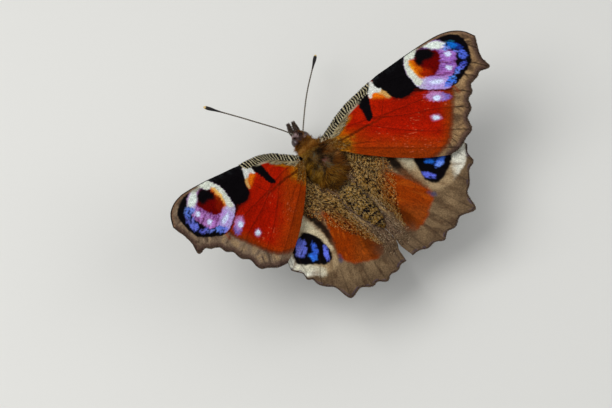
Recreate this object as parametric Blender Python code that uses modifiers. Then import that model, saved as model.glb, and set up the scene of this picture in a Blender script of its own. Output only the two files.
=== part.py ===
"""Peacock butterfly with open wings, standing on its four walking legs."""
import math

import bmesh
import bpy
import numpy as np
from mathutils import Matrix

# Sizes in millimetres in the animal's own frame
# The origin is the middle of the thorax, +Y towards the head, +Z towards the back
MM = 0.001
STANCE = 5.9            # height of the thorax's middle above the floor
GAP = 0.3               # clearance between a sub-part and what it grows from
WING_THICK = 0.5
VEIN_RAISE = 0.11       # how far a vein stands out of each face of the wing
VEIN_HALF = 0.24        # half width of a vein's ridge
VEIN_ROOM = 0.3         # most of the room to the next vein that the ridge may take
SIDES = 22              # sides of the lofted body
WELD = 0.000001         # points closer than this in metres are one point

# Rings of the body: y, middle x, middle z, half width, half height
THORAX = [(-3.7, 0.0, -0.35, 1.25, 1.2), (-3.2, 0.0, -0.25, 1.95, 1.85), (-2.2, 0.0, -0.1, 2.45, 2.35),
          (-0.8, 0.0, 0.0, 2.72, 2.58), (0.8, 0.0, 0.0, 2.72, 2.6), (2.2, 0.0, 0.0, 2.4, 2.35),
          (3.3, 0.05, -0.05, 1.8, 1.8), (4.0, 0.1, -0.1, 1.3, 1.3), (4.3, 0.12, -0.1, 0.95, 0.95)]
ABDOMEN = [(-4.0, 0.0, -0.37, 1.1, 1.05), (-4.5, 0.02, -0.4, 1.62, 1.5), (-5.6, 0.06, -0.5, 2.0, 1.85),
           (-7.2, 0.15, -0.65, 2.15, 1.95), (-9.0, 0.3, -0.85, 2.08, 1.88), (-10.8, 0.48, -1.05, 1.8, 1.65),
           (-12.4, 0.66, -1.23, 1.35, 1.28), (-13.6, 0.8, -1.36, 0.82, 0.8), (-14.3, 0.88, -1.44, 0.3, 0.3)]
HEAD = [(4.6, 0.14, -0.1, 0.85, 0.85), (5.1, 0.19, -0.06, 1.12, 1.08), (5.9, 0.28, 0.0, 1.3, 1.22),
        (6.6, 0.36, 0.0, 1.15, 1.08), (7.1, 0.42, 0.0, 0.85, 0.8), (7.45, 0.46, 0.0, 0.42, 0.4)]
SEGMENTS = 7            # rings of the abdomen
SEGMENT_STEP = 0.07     # how far each ring's rear edge stands out

EYE_MIDDLE = (1.0, 5.9, 0.15)
EYE_RADII = (0.7, 0.9, 0.9)
HEAD_TURN_X = 0.3       # sideways place of the head, which looks a little to the right

# Wing planes: sweep, dihedral and twist in degrees
FORE_ROOT = (3.0, 1.8, 1.8)
HIND_ROOT = (2.4, -1.8, 1.0)
FORE_ANGLES = {1: (-46.7, 26.1, 8.0), -1: (-36.1, 25.4, 10.5)}
HIND_ANGLES = {1: (-25.2, 17.8, -9.4), -1: (-18.3, 21.2, -8.2)}

# Wing edges in the wing's own plane, x outwards and y forwards
FORE_COSTA = [(-1.5, 0.9), (-0.9, 1.7), (0.1, 3.3), (1.4, 5.2), (3.0, 6.9), (4.7, 8.3), (6.4, 9.6),
              (8.2, 10.9), (10.2, 12.2), (12.3, 13.6), (14.4, 14.95), (16.4, 16.15), (18.4, 17.15),
              (20.5, 17.7), (22.5, 17.6), (24.2, 16.9)]
FORE_INNER = [(-1.5, -0.5), (0.0, -0.8), (2.0, -1.25), (5.0, -1.75), (9.0, -2.15), (13.0, -2.35),
              (17.0, -2.25), (20.3, -1.8)]
FORE_SMOOTH = [(0, 24.2, 16.9), (0.12, 24.7, 14.7), (0.25, 25.0, 12.2), (0.4, 24.1, 9.9),
               (0.55, 23.5, 7.0), (0.79, 23.3, 2.2), (0.9, 22.3, 0.2), (1, 20.3, -1.8)]
FORE_TEETH = [(0, 24.2, 16.9), (0.055, 24.5, 15.9), (0.11, 24.75, 14.9), (0.18, 25.3, 13.5),
              (0.25, 26.6, 12.0), (0.31, 25.0, 11.3), (0.37, 24.65, 10.5), (0.43, 23.6, 9.3),
              (0.49, 23.8, 8.1), (0.555, 23.2, 7.0), (0.62, 23.65, 5.6), (0.705, 23.05, 4.1),
              (0.79, 23.75, 2.2), (0.86, 22.8, 0.9), (0.93, 21.9, -0.6), (1, 20.3, -1.8)]
FORE_VEINS = [(0.11, 0.0), (0.25, 0.42), (0.37, 0.45), (0.49, 0.42), (0.62, 0.0), (0.79, 0.3), (0.93, 0.0)]
HIND_COSTA = [(-1.0, 2.0), (0.2, 2.9), (2.0, 3.5), (5.0, 3.5), (9.0, 2.5), (13.0, 0.9), (16.5, -0.9),
              (18.8, -2.6), (20.2, -4.4)]
HIND_INNER = [(-1.0, -1.2), (0.3, -2.8), (1.0, -5.0), (1.5, -7.3), (2.0, -9.7), (2.5, -12.1),
              (4.1, -14.6), (5.4, -17.0), (6.9, -19.3)]
HIND_SMOOTH = [(0, 20.2, -4.4), (0.13, 20.0, -7.5), (0.29, 18.8, -10.9), (0.45, 17.6, -14.3),
               (0.6, 15.3, -16.5), (0.77, 12.2, -18.3), (0.895, 9.4, -19.0), (1, 6.9, -19.3)]
HIND_TEETH = [(0, 20.2, -4.4), (0.065, 19.9, -5.9), (0.13, 20.35, -7.5), (0.21, 19.2, -8.8),
              (0.29, 18.8, -10.9), (0.385, 17.95, -12.6), (0.48, 18.4, -15.5), (0.57, 15.8, -15.8),
              (0.66, 14.5, -17.3), (0.715, 13.2, -17.5), (0.77, 12.4, -18.7), (0.83, 10.9, -18.5),
              (0.895, 9.4, -19.1), (0.95, 8.2, -18.95), (1, 6.9, -19.3)]
HIND_VEINS = [(0.13, 0.35), (0.29, 0.4), (0.48, 0.4), (0.66, 0.0), (0.77, 0.25), (0.895, 0.0)]
ROWS = [0.0, 0.06, 0.1, 0.14, 0.18, 0.23, 0.3, 0.38, 0.47, 0.56, 0.65, 0.74, 0.82, 0.89, 0.95, 1.0]
# How the sides differ: how far the front edge lies out at places x, and the front corner's move
COSTA_OUT = {1: [(-1.5, 0.0), (-0.5, -0.25), (1.5, -0.4), (4.0, -0.35), (6.0, -0.2), (8.0, 0.0)],
             -1: [(-1.5, 0.1), (0.0, 0.25), (1.0, 0.45), (3.0, 0.5), (5.0, 0.35), (7.0, 0.15),
                  (9.0, 0.2), (13.0, 0.35), (18.0, 0.45), (22.0, 0.4), (24.0, 0.1)]}
COSTA_WAY = (-0.55, 0.83)
COSTA_FADE = 0.3        # share of the chord over which that fades
CORNER_MOVE = {1: (0.0, 0.0), -1: (-2.0, -0.94)}
CORNER_X, CORNER_Y = (8.0, 20.0), (-10.5, -6.0)
CAMBER = 0.35           # height of the wing's arch
FRONT_ROLL = 0.25       # how far the front edge rolls down
WING_CLEAR = 1.06       # height of the forewing's middle surface above the hindwing's
TUCK_END, TUCK_RUN = 6.0, 3.3
TROUGH_WIDE, TROUGH_FLAT = 5.0, 2.2     # the trough starts and is whole so far from the inner edge
TROUGH_PAST, TROUGH_DROP = 0.25, 0.3    # its edge lies so far past the abdomen's middle and below it
TROUGH_FRONT = (-3.2, -8.0)             # places along the body where the trough begins, and is whole
TROUGH_REAR = (-19.0, -14.2)            # where it has ended, and is still whole
TROUGH_COLUMNS = 6

# Legs: hip, knee, ankle, heel and toe of the left and right sides alike
SOLE_RISE = 0.2         # height of the foot's middle line above the floor
MID_LEG = [(1.5, 1.6, -1.9), (5.1, 3.3, -1.9), (7.2, 4.3, -4.7), (7.7, 4.8, SOLE_RISE - STANCE),
           (9.3, 6.2, SOLE_RISE - STANCE)]
HIND_LEG = [(1.5, -1.8, -1.7), (4.3, -5.0, -1.9), (6.0, -8.8, -4.7), (6.3, -9.9, SOLE_RISE - STANCE),
            (6.8, -12.2, SOLE_RISE - STANCE)]
FORE_LEG = [(1.0, 3.0, -1.7), (1.35, 4.1, -2.5), (1.05, 5.0, -2.7)]
FEMUR_RADII = (0.36, 0.44, 0.38, 0.32)
TIBIA_RADII = (0.33, 0.33, 0.3, 0.29)
FOOT_RADII = (0.27, 0.28, 0.27, 0.26)
FORE_LEG_RADII = (0.3, 0.36, 0.26)

ANTENNA = {-1: [(0.05, 6.8, 0.6), (-4.3, 12.9, 2.7), (-7.9, 17.7, 3.95)],
           1: [(1.0, 6.2, 0.6), (6.45, 11.5, 0.75), (10.95, 15.1, 0.2)]}
ANTENNA_RADIUS = 0.25
CLUB_LENGTH = 2.1
CLUB_PROFILE = [(0.0, 0.0), (0.25, 0.0), (0.34, 0.5), (0.46, 1.1), (0.45, 1.6), (0.3, 1.95), (0.0, 2.1)]
PALP = {-1: [(-0.05, 6.8, -0.4), (0.0, 8.0, -0.15), (0.35, 9.2, 0.45)],
        1: [(0.9, 6.7, -0.4), (1.15, 7.9, -0.15), (1.3, 8.95, 0.45)]}
PALP_RADII = (0.3, 0.32, 0.2)
COIL_MIDDLE = (0.38, 6.95, -2.75)
COIL_OUTER, COIL_INNER, COIL_TURNS = 1.15, 0.4, 1.05
COIL_RADII = (0.25, 0.2)

COLOURS = {"fur": (0.20, 0.11, 0.06), "abdomen": (0.16, 0.11, 0.07), "head": (0.17, 0.10, 0.08),
           "eye": (0.03, 0.015, 0.015), "forewing": (0.42, 0.07, 0.03), "hindwing": (0.32, 0.12, 0.05),
           "leg": (0.16, 0.10, 0.07), "antenna": (0.05, 0.035, 0.03), "club": (0.03, 0.025, 0.02),
           "palp": (0.10, 0.06, 0.05), "proboscis": (0.12, 0.07, 0.03)}


def through(points, t, knots=None):
    """Smooth curve through the points, t running from 0 to 1 by the length of the chords."""
    p = np.asarray(points, float)
    if knots is None:
        knots = np.concatenate([[0], np.cumsum(np.linalg.norm(np.diff(p, axis=0), axis=1))])
        knots = knots / knots[-1]
    slope = np.gradient(p, knots, axis=0)
    t = np.asarray(t, float)
    i = np.clip(np.searchsorted(knots, t, side="right") - 1, 0, len(p) - 2)
    h = knots[i + 1] - knots[i]
    s = ((t - knots[i]) / h)[..., None]
    h = h[..., None]
    return ((2 * s**3 - 3 * s**2 + 1) * p[i] + (s**3 - 2 * s**2 + s) * h * slope[i]
            + (3 * s**2 - 2 * s**3) * p[i + 1] + (s**3 - s**2) * h * slope[i + 1])


def along(knots, t):
    """Straight runs between the rows (place, x, y) of an outer edge."""
    k = np.asarray(knots, float)
    return np.stack([np.interp(t, k[:, 0], k[:, i]) for i in range(1, k.shape[1])], -1)


def wing_plane(kind, u, v):
    """Flat place of a wing's point, u from the root to the outer edge and v from front to rear."""
    if kind == "fore":
        costa, inner, smooth, teeth = FORE_COSTA, FORE_INNER, FORE_SMOOTH, FORE_TEETH
    else:
        costa, inner, smooth, teeth = HIND_COSTA, HIND_INNER, HIND_SMOOTH, HIND_TEETH
    s = np.asarray(smooth, float)
    u, v = np.broadcast_arrays(np.asarray(u, float), np.asarray(v, float))
    front, rear = through(costa, u), through(inner, u)
    edge = through(s[:, 1:], v, s[:, 0])
    chord = (1 - v)[..., None] * s[0, 1:] + v[..., None] * s[-1, 1:]
    bow = (u**1.5)[..., None] * (edge - chord) + (u**8)[..., None] * (along(teeth, v) - edge)
    return (1 - v)[..., None] * front + v[..., None] * rear + bow


def differing(flat, kind, side, v):
    """Small moves in the wing's plane that tell the left side from the right."""
    x, y = flat[..., 0], flat[..., 1]
    if kind == "fore":
        places = np.array(COSTA_OUT[side])
        out = np.interp(x, places[:, 0], places[:, 1]) * np.clip(1 - v / COSTA_FADE, 0, 1)
        return flat + out[..., None] * np.array(COSTA_WAY)
    hold = eased(*CORNER_X, x) * eased(*CORNER_Y, y)
    return flat + hold[..., None] * np.array(CORNER_MOVE[side])


def turn(axis, degrees):
    return np.array(Matrix.Rotation(math.radians(degrees), 3, axis))


def wing_surface(kind, side, u, v):
    """Middle surface of a wing in the animal's frame."""
    flat = differing(wing_plane(kind, u, v), kind, side, v)
    x, y = flat[..., 0], flat[..., 1]
    span = np.clip(x / 24.0, 0, 1)
    arch = np.sin(np.pi * span)
    z = CAMBER * arch - FRONT_ROLL * np.clip(1 - np.asarray(v) / 0.2, 0, 1) ** 2 * arch
    root, angles = (FORE_ROOT, FORE_ANGLES[side]) if kind == "fore" else (HIND_ROOT, HIND_ANGLES[side])
    p = np.stack([x, y, z], -1) @ spin_of(angles).T + np.array(root)
    if kind == "hind":
        edge = wing_plane(kind, u, np.ones_like(v))
        edge = np.concatenate([edge, np.zeros_like(edge[..., :1])], -1) @ spin_of(angles).T + np.array(root)
        p = gathered(tucked(p, side), edge, side)
    p[..., 0] *= side
    return p


def eased(low, high, x):
    """Smooth step from 0 at low to 1 at high."""
    t = np.clip((x - low) / (high - low), 0, 1)
    return t * t * (3 - 2 * t)


def gathered(p, edge, side):
    """Draw the inner part of the hindwing down and inwards, as a trough that the abdomen lies in."""
    spec = np.array(ABDOMEN)[::-1]
    y = p[..., 1]
    target = side * np.interp(y, spec[:, 0], spec[:, 1]) + TROUGH_PAST
    depth = np.interp(y, spec[:, 0], spec[:, 2]) - TROUGH_DROP
    hold = eased(TROUGH_WIDE, TROUGH_FLAT, p[..., 0] - edge[..., 0])
    hold = hold * eased(*TROUGH_FRONT, y) * eased(*TROUGH_REAR, y)
    move = np.stack([target - edge[..., 0], np.zeros_like(y), depth - edge[..., 2]], -1)
    return p + move * hold[..., None]


def spin_of(angles):
    sweep, dihedral, twist = angles
    return turn("Y", -dihedral) @ turn("Z", sweep) @ turn("X", twist)


def tucked(p, side):
    """Lower the front of the hindwing until it lies clear below the forewing."""
    spin = spin_of(FORE_ANGLES[side])
    q = (p - np.array(FORE_ROOT)) @ spin
    over = q[..., 2] - CAMBER * np.sin(np.pi * np.clip(q[..., 0] / 24.0, 0, 1)) + WING_CLEAR
    over = 0.5 * (over + np.sqrt(over * over + 0.02))
    near = np.clip((q[..., 1] + TUCK_END) / TUCK_RUN, 0, 1)
    q[..., 2] -= over * near * near * (3 - 2 * near)
    return q @ spin.T + np.array(FORE_ROOT)


def mesh_object(name, verts, faces):
    mesh = bpy.data.meshes.new(name)
    mesh.from_pydata([tuple(p) for p in np.asarray(verts) * MM], [], faces)
    bm = bmesh.new()
    bm.from_mesh(mesh)
    bmesh.ops.recalc_face_normals(bm, faces=bm.faces)
    bm.to_mesh(mesh)
    bm.free()
    obj = bpy.data.objects.new(name, mesh)
    bpy.context.scene.collection.objects.link(obj)
    return obj


def wing(name, kind, side):
    """Wing of even thickness with its main veins raised in both faces."""
    veins = FORE_VEINS if kind == "fore" else HIND_VEINS
    places = np.array([v for v, start in veins])
    starts = np.array([start for v, start in veins])
    rows = np.array(ROWS)
    chord = wing_plane(kind, rows, np.ones_like(rows)) - wing_plane(kind, rows, np.zeros_like(rows))
    width = np.linalg.norm(chord, axis=-1)
    room = np.diff(np.concatenate([[0.0], places, [1.0]]))
    tightest = VEIN_ROOM * np.minimum(room[:-1], room[1:])
    foot = np.minimum(VEIN_HALF / width[:, None], tightest[None, :])
    grid = [np.zeros(len(rows))]
    raised = [np.zeros(len(rows))]
    bound = np.concatenate([[0.0], places, [1.0]])
    for k, place in enumerate(places):
        if bound[k] + 0.04 < place:
            grid.append(np.full(len(rows), (bound[k] + place) / 2))
            raised.append(np.zeros(len(rows)))
        ramp = np.clip((rows - starts[k]) / 0.08 + 0.001, 0, 1) * np.clip(rows / 0.1, 0, 1)
        for shift, share in ((-1, 0), (0, 1), (1, 0)):
            grid.append(place + shift * foot[:, k])
            raised.append(share * VEIN_RAISE * ramp)
    for place in np.linspace(places[-1] + tightest[-1], 1, TROUGH_COLUMNS)[1:]:
        grid.append(np.full(len(rows), place))
        raised.append(np.zeros(len(rows)))
    v = np.stack(grid, 1)
    lift = np.stack(raised, 1)
    u = np.repeat(rows[:, None], v.shape[1], 1)
    step = 0.002
    middle = wing_surface(kind, side, u, v)
    further, nearer = np.clip(u + step, 0, 1), np.clip(u - step, 0, 1)
    du = wing_surface(kind, side, further, v) - wing_surface(kind, side, nearer, v)
    behind, before = np.clip(v + step, 0, 1), np.clip(v - step, 0, 1)
    dv = wing_surface(kind, side, u, behind) - wing_surface(kind, side, u, before)
    normal = np.cross(du, dv)
    normal /= np.linalg.norm(normal, axis=-1, keepdims=True)
    half = (WING_THICK / 2 + lift)[..., None]
    top, bottom = middle + normal * half, middle - normal * half
    nr, nc = u.shape
    verts = np.concatenate([top.reshape(-1, 3), bottom.reshape(-1, 3)])
    under = nr * nc
    faces = []
    for i in range(nr - 1):
        for j in range(nc - 1):
            a, b, c, d = i * nc + j, i * nc + j + 1, (i + 1) * nc + j + 1, (i + 1) * nc + j
            faces += [(a, b, c), (a, c, d)]
            faces += [(a + under, c + under, b + under), (a + under, d + under, c + under)]
    rim = ([i * nc for i in range(nr)] + [(nr - 1) * nc + j for j in range(1, nc)]
           + [i * nc + nc - 1 for i in range(nr - 2, -1, -1)] + [j for j in range(nc - 2, 0, -1)])
    for a, b in zip(rim, rim[1:] + rim[:1]):
        faces += [(a, b, b + under), (a, b + under, a + under)]
    return mesh_object(name, verts, faces)


def rings_of(spec, count, grow=0.0):
    """Rings of a lofted body, evenly placed and grown outwards by a clearance."""
    r = through(spec, np.linspace(0, 1, count))
    r[:, 3:] += grow
    if grow:
        lead, tail = r[0].copy(), r[-1].copy()
        way = math.copysign(grow, r[-1, 0] - r[0, 0])
        lead[0] -= way
        tail[0] += way
        r = np.concatenate([[lead], r, [tail]])
    return r


def loft(name, rings, sides=SIDES):
    """Closed body through elliptical rings."""
    turnings = np.linspace(0, 2 * np.pi, sides, endpoint=False)
    verts = [(cx + w * np.sin(a), y, cz + h * np.cos(a)) for y, cx, cz, w, h in rings for a in turnings]
    faces = [tuple(range(sides)), tuple(range((len(rings) - 1) * sides, len(rings) * sides))]
    for i in range(len(rings) - 1):
        for j in range(sides):
            k = (j + 1) % sides
            faces.append((i * sides + j, i * sides + k, (i + 1) * sides + k, (i + 1) * sides + j))
    return mesh_object(name, verts, faces)


def segmented(spec, count, step):
    """Rings of the abdomen, where each segment widens to its rear edge and steps in again."""
    base = through(spec, np.linspace(0, 1, 200))
    out = []
    for k in range(count):
        t0, t1 = k / count, (k + 1) / count
        for t, extra in ((t0 + 0.012, 0.0), ((t0 + t1) / 2, 0.4 * step), (t1 - 0.012, step)):
            ring = np.array([np.interp(t, np.linspace(0, 1, 200), base[:, c]) for c in range(5)])
            ring[3:] += extra
            out.append(ring)
    out[0] = base[0]
    out[-1] = base[-1]
    return np.array(out)


def settled(obj):
    """Bake the modifiers and keep the largest closed surface."""
    graph = bpy.context.evaluated_depsgraph_get()
    mesh = bpy.data.meshes.new_from_object(obj.evaluated_get(graph))
    bm = bmesh.new()
    bm.from_mesh(mesh)
    bmesh.ops.remove_doubles(bm, verts=bm.verts, dist=WELD)
    bm.faces.index_update()
    seen, islands = set(), []
    for face in bm.faces:
        if face.index in seen:
            continue
        island, front = [], [face]
        seen.add(face.index)
        while front:
            f = front.pop()
            island.append(f)
            for edge in f.edges:
                for g in edge.link_faces:
                    if g.index not in seen:
                        seen.add(g.index)
                        front.append(g)
        islands.append(island)
    islands.sort(key=lambda fs: sum(f.calc_area() for f in fs), reverse=True)
    bmesh.ops.delete(bm, geom=[f for fs in islands[1:] for f in fs], context="FACES")
    bmesh.ops.recalc_face_normals(bm, faces=bm.faces)
    bm.to_mesh(mesh)
    bm.free()
    name = obj.name
    bpy.data.objects.remove(obj, do_unlink=True)
    out = bpy.data.objects.new(name, mesh)
    bpy.context.scene.collection.objects.link(out)
    return out


def cut(obj, *cutters):
    """Take each cutter away from the object."""
    for cutter in cutters:
        tool = obj.modifiers.new("cut", "BOOLEAN")
        tool.operation = "DIFFERENCE"
        tool.solver = "EXACT"
        tool.object = cutter
    return settled(obj)


def swept(name, points, radii, resolution=2):
    """Round bar along a path with a radius at each point."""
    curve = bpy.data.curves.new(name, "CURVE")
    curve.dimensions = "3D"
    curve.bevel_depth = MM
    curve.bevel_resolution = resolution
    curve.use_fill_caps = True
    line = curve.splines.new("POLY")
    line.points.add(len(points) - 1)
    for point, place, radius in zip(line.points, points, radii):
        point.co = (place[0] * MM, place[1] * MM, place[2] * MM, 1.0)
        point.radius = radius
    obj = bpy.data.objects.new(name, curve)
    bpy.context.scene.collection.objects.link(obj)
    return settled(obj)


def bowed(points, radii, count):
    """Finer points and radii along a smooth path."""
    t = np.linspace(0, 1, count)
    path = through(points, t)
    r = np.interp(t, np.linspace(0, 1, len(radii)), radii)
    return [tuple(p) for p in path], list(r)


def ball(name, middle, radii, grow=0.0):
    bm = bmesh.new()
    bmesh.ops.create_uvsphere(bm, u_segments=16, v_segments=10, radius=1.0)
    for vert in bm.verts:
        vert.co = [(m + (r + grow) * c) * MM for m, r, c in zip(middle, radii, vert.co)]
    mesh = bpy.data.meshes.new(name)
    bm.to_mesh(mesh)
    bm.free()
    obj = bpy.data.objects.new(name, mesh)
    bpy.context.scene.collection.objects.link(obj)
    return obj


def between(a, b, t):
    return tuple(p + (q - p) * t for p, q in zip(a, b))


def mirrored(points, side):
    return [(side * p[0], p[1], p[2]) for p in points]


def longer(a, b, extra):
    """Point beyond b on the line from a."""
    run = math.dist(a, b)
    return between(a, b, 1 + extra / run)


def floor_cutter():
    bm = bmesh.new()
    bmesh.ops.create_cube(bm, size=1.0)
    for vert in bm.verts:
        vert.co = (vert.co.x * 0.06, vert.co.y * 0.06, -STANCE * MM + (vert.co.z - 0.5) * 0.004)
    mesh = bpy.data.meshes.new("floor_cutter")
    bm.to_mesh(mesh)
    bm.free()
    obj = bpy.data.objects.new("floor_cutter", mesh)
    bpy.context.scene.collection.objects.link(obj)
    return obj


def painted(obj, slot, rough=0.7):
    """One material a slot."""
    mat = bpy.data.materials.get(slot)
    if mat is None:
        mat = bpy.data.materials.new(slot)
        mat.use_nodes = True
        shader = mat.node_tree.nodes["Principled BSDF"]
        shader.inputs["Base Color"].default_value = (*COLOURS[slot], 1.0)
        shader.inputs["Roughness"].default_value = rough
    obj.data.materials.clear()
    obj.data.materials.append(mat)
    return obj


def leg(label, side, points, thorax_room):
    """Femur, tibia and foot of a walking leg, each cut clear of the one before."""
    hip, knee, ankle, heel, toe = mirrored(points, side)
    tag = label + ("_right" if side > 0 else "_left")
    ease = [0, 0.35, 0.8, 1]
    femur = swept("femur_" + tag, [between(hip, knee, t) for t in ease], FEMUR_RADII)
    femur = cut(femur, thorax_room)
    room = swept("femur_room", [hip, between(hip, knee, 0.35), knee, longer(hip, knee, GAP)],
                 [FEMUR_RADII[0] + GAP, FEMUR_RADII[1] + GAP, FEMUR_RADII[3] + GAP,
                  FEMUR_RADII[3] + GAP * 0.6])
    tibia = swept("tibia_" + tag, [between(knee, ankle, t) for t in ease], TIBIA_RADII)
    tibia = cut(tibia, room)
    bpy.data.objects.remove(room)
    room = swept("tibia_room", [knee, ankle, longer(knee, ankle, GAP)],
                 [TIBIA_RADII[0] + GAP, TIBIA_RADII[3] + GAP, TIBIA_RADII[3] + GAP * 0.6])
    foot = swept("foot_" + tag, [ankle, heel, between(heel, toe, 0.5), toe], FOOT_RADII)
    floor = floor_cutter()
    foot = cut(foot, room, floor)
    bpy.data.objects.remove(room)
    bpy.data.objects.remove(floor)
    return [painted(o, "leg") for o in (femur, tibia, foot)]


def club(name, start, end):
    """Lathe turned end of the antenna, set on from the shaft's end along its line."""
    mesh = bpy.data.meshes.new(name)
    mesh.from_pydata([(r * MM, 0, z * MM) for r, z in CLUB_PROFILE],
                     [(i, i + 1) for i in range(len(CLUB_PROFILE) - 1)], [])
    obj = bpy.data.objects.new(name, mesh)
    bpy.context.scene.collection.objects.link(obj)
    lathe = obj.modifiers.new("lathe", "SCREW")
    lathe.angle = 2 * math.pi
    lathe.steps = lathe.render_steps = 12
    lathe.use_merge_vertices = True
    lathe.merge_threshold = 0.00001
    obj = settled(obj)
    way = np.array(end) - np.array(start)
    way /= np.linalg.norm(way)
    side = np.cross(way, (0, 0, 1.0))
    side /= np.linalg.norm(side)
    frame = np.stack([side, np.cross(way, side), way], 1)
    place = np.array(end) + way * GAP
    move = Matrix.Translation([float(c) * MM for c in place]) @ Matrix(frame.tolist()).to_4x4()
    obj.data.transform(move)
    return obj


def build():
    for obj in list(bpy.data.objects):
        bpy.data.objects.remove(obj, do_unlink=True)
    thorax_room = loft("thorax_room", rings_of(THORAX, 12, GAP))
    head_room = loft("head_room", rings_of(HEAD, 8, GAP))
    abdomen_room = loft("abdomen_room", rings_of(ABDOMEN, 12, GAP + SEGMENT_STEP))
    painted(loft("thorax", rings_of(THORAX, 12)), "fur")
    painted(loft("abdomen", segmented(ABDOMEN, SEGMENTS, SEGMENT_STEP)), "abdomen")
    head = loft("head", rings_of(HEAD, 8))
    sockets = []
    for side, label in ((-1, "left"), (1, "right")):
        middle = (HEAD_TURN_X + side * EYE_MIDDLE[0], EYE_MIDDLE[1], EYE_MIDDLE[2])
        painted(ball("eye_" + label, middle, EYE_RADII), "eye", 0.25)
        sockets.append(ball("socket_" + label, middle, EYE_RADII, GAP))
    painted(cut(head, *sockets), "head")
    for side, label in ((-1, "left"), (1, "right")):
        path, radii = bowed(ANTENNA[side], (ANTENNA_RADIUS, ANTENNA_RADIUS), 9)
        painted(cut(swept("antenna_" + label, path, radii), head_room), "antenna")
        painted(club("club_" + label, path[-2], path[-1]), "club")
        path, radii = bowed(PALP[side], PALP_RADII, 6)
        painted(cut(swept("palp_" + label, path, radii), head_room), "palp")
        painted(swept_fore_leg(label, side, thorax_room), "leg")
        for wing_kind in ("fore", "hind"):
            blade = wing(wing_kind + "wing_" + label, wing_kind, side)
            rooms = (thorax_room,) if wing_kind == "fore" else (thorax_room, abdomen_room)
            painted(cut(blade, *rooms), wing_kind + "wing")
        leg("mid", side, MID_LEG, thorax_room)
        leg("hind", side, HIND_LEG, thorax_room)
    turns = np.linspace(0, COIL_TURNS, 16)
    sweep = math.pi / 2 - turns * 2 * math.pi
    reach = COIL_OUTER + (COIL_INNER - COIL_OUTER) * turns / COIL_TURNS
    coil = [(COIL_MIDDLE[0], COIL_MIDDLE[1] - r * math.cos(a), COIL_MIDDLE[2] + r * math.sin(a))
            for r, a in zip(reach, sweep)]
    painted(cut(swept("proboscis", coil, list(np.linspace(*COIL_RADII, 16))), head_room), "proboscis")
    for obj in [thorax_room, head_room, abdomen_room] + sockets:
        bpy.data.objects.remove(obj)
    low = np.full(3, np.inf)
    high = -low
    for obj in bpy.data.objects:
        spots = np.array([v.co[:] for v in obj.data.vertices])
        low, high = np.minimum(low, spots.min(0)), np.maximum(high, spots.max(0))
    shift = Matrix.Translation((-(low[0] + high[0]) / 2, -(low[1] + high[1]) / 2, STANCE * MM))
    for obj in bpy.data.objects:
        obj.data.transform(shift)
    print("box", ((high - low) / MM).round(2), "shift", (np.array(shift.translation) / MM).round(4))


def swept_fore_leg(label, side, thorax_room):
    """Small front leg, folded forwards against the breast."""
    path, radii = bowed(mirrored(FORE_LEG, side), FORE_LEG_RADII, 6)
    return cut(swept("foreleg_" + label, path, radii), thorax_room)


build()
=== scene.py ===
# %% [markdown]
# # A peacock butterfly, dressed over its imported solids
# The solids give the pose and the outline. This script lays the fine shapes over them: thin wings with
# their painted scales, a skin under short fur, eyes, ringed antennae and spiny legs.
# All sizes are millimetres in the animal's own frame, with the head towards +Y, and are turned into
# metres only when a mesh is made.

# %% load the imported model
import math
import bpy
import numpy as np
from mathutils import Matrix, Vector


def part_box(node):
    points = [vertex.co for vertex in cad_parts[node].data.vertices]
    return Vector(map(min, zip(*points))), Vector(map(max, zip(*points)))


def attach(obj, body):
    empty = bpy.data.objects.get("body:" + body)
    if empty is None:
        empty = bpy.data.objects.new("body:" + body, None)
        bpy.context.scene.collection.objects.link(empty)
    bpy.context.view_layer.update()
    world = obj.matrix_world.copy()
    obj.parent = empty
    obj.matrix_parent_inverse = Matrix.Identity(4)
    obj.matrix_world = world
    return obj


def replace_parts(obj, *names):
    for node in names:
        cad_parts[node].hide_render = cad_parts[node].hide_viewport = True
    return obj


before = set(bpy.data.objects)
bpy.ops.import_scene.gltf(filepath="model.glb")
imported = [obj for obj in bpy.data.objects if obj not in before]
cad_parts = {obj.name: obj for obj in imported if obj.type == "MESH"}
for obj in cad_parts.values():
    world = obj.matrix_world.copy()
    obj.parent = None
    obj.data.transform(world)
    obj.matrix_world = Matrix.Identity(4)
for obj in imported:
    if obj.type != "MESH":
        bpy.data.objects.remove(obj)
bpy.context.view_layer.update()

MM = 0.001
SIDES = (-1, "left"), (1, "right")
EYE_MIDDLE = np.array([1.0, 5.9, 0.15])
HEAD_TURN_X = 0.3
low, high = (np.array(c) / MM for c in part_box("eye_left"))
SHIFT = (low + high) / 2 - (EYE_MIDDLE * [-1, 1, 1] + [HEAD_TURN_X, 0, 0])
print("animal's frame sits at", SHIFT.round(3), "mm in the row's frame")

# %% [markdown]
# ## The camera
# The photograph was taken from above the left hind corner of the animal, with a long lens. A camera is
# a place, a direction and a lens; here the place comes from an azimuth, an elevation and a distance, so
# that each can be read and changed. A small lens shift puts the body off the middle of the frame.

# %% camera at the photograph's angle
AZIMUTH, ELEVATION, ROLL = math.radians(-39.43), math.radians(65.67), math.radians(-1.41)
DISTANCE = 275.19
LENS, SENSOR = 100.0, 36.0
PHOTO_W, PHOTO_H = 612, 408
BODY_PX = (322.87, 166.24)
NEAREST, FARTHEST = 0.01, 10.0

def aim(azimuth, elevation, roll):
    """Right, up and back vectors. Back points from the body to the camera: it is (0, -1, 0) lifted by the
    elevation and turned by the azimuth about Z. Right and up are square to it and are turned by the roll."""
    back = np.array([math.sin(azimuth) * math.cos(elevation), -math.cos(azimuth) * math.cos(elevation),
                     math.sin(elevation)])
    right = np.array([math.cos(azimuth), math.sin(azimuth), 0.0])
    up = np.cross(back, right)
    c, s = math.cos(roll), math.sin(roll)
    return c * right + s * up, c * up - s * right, back

def linked(obj):
    """Put an object into the scene."""
    bpy.context.scene.collection.objects.link(obj)
    return obj

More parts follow.
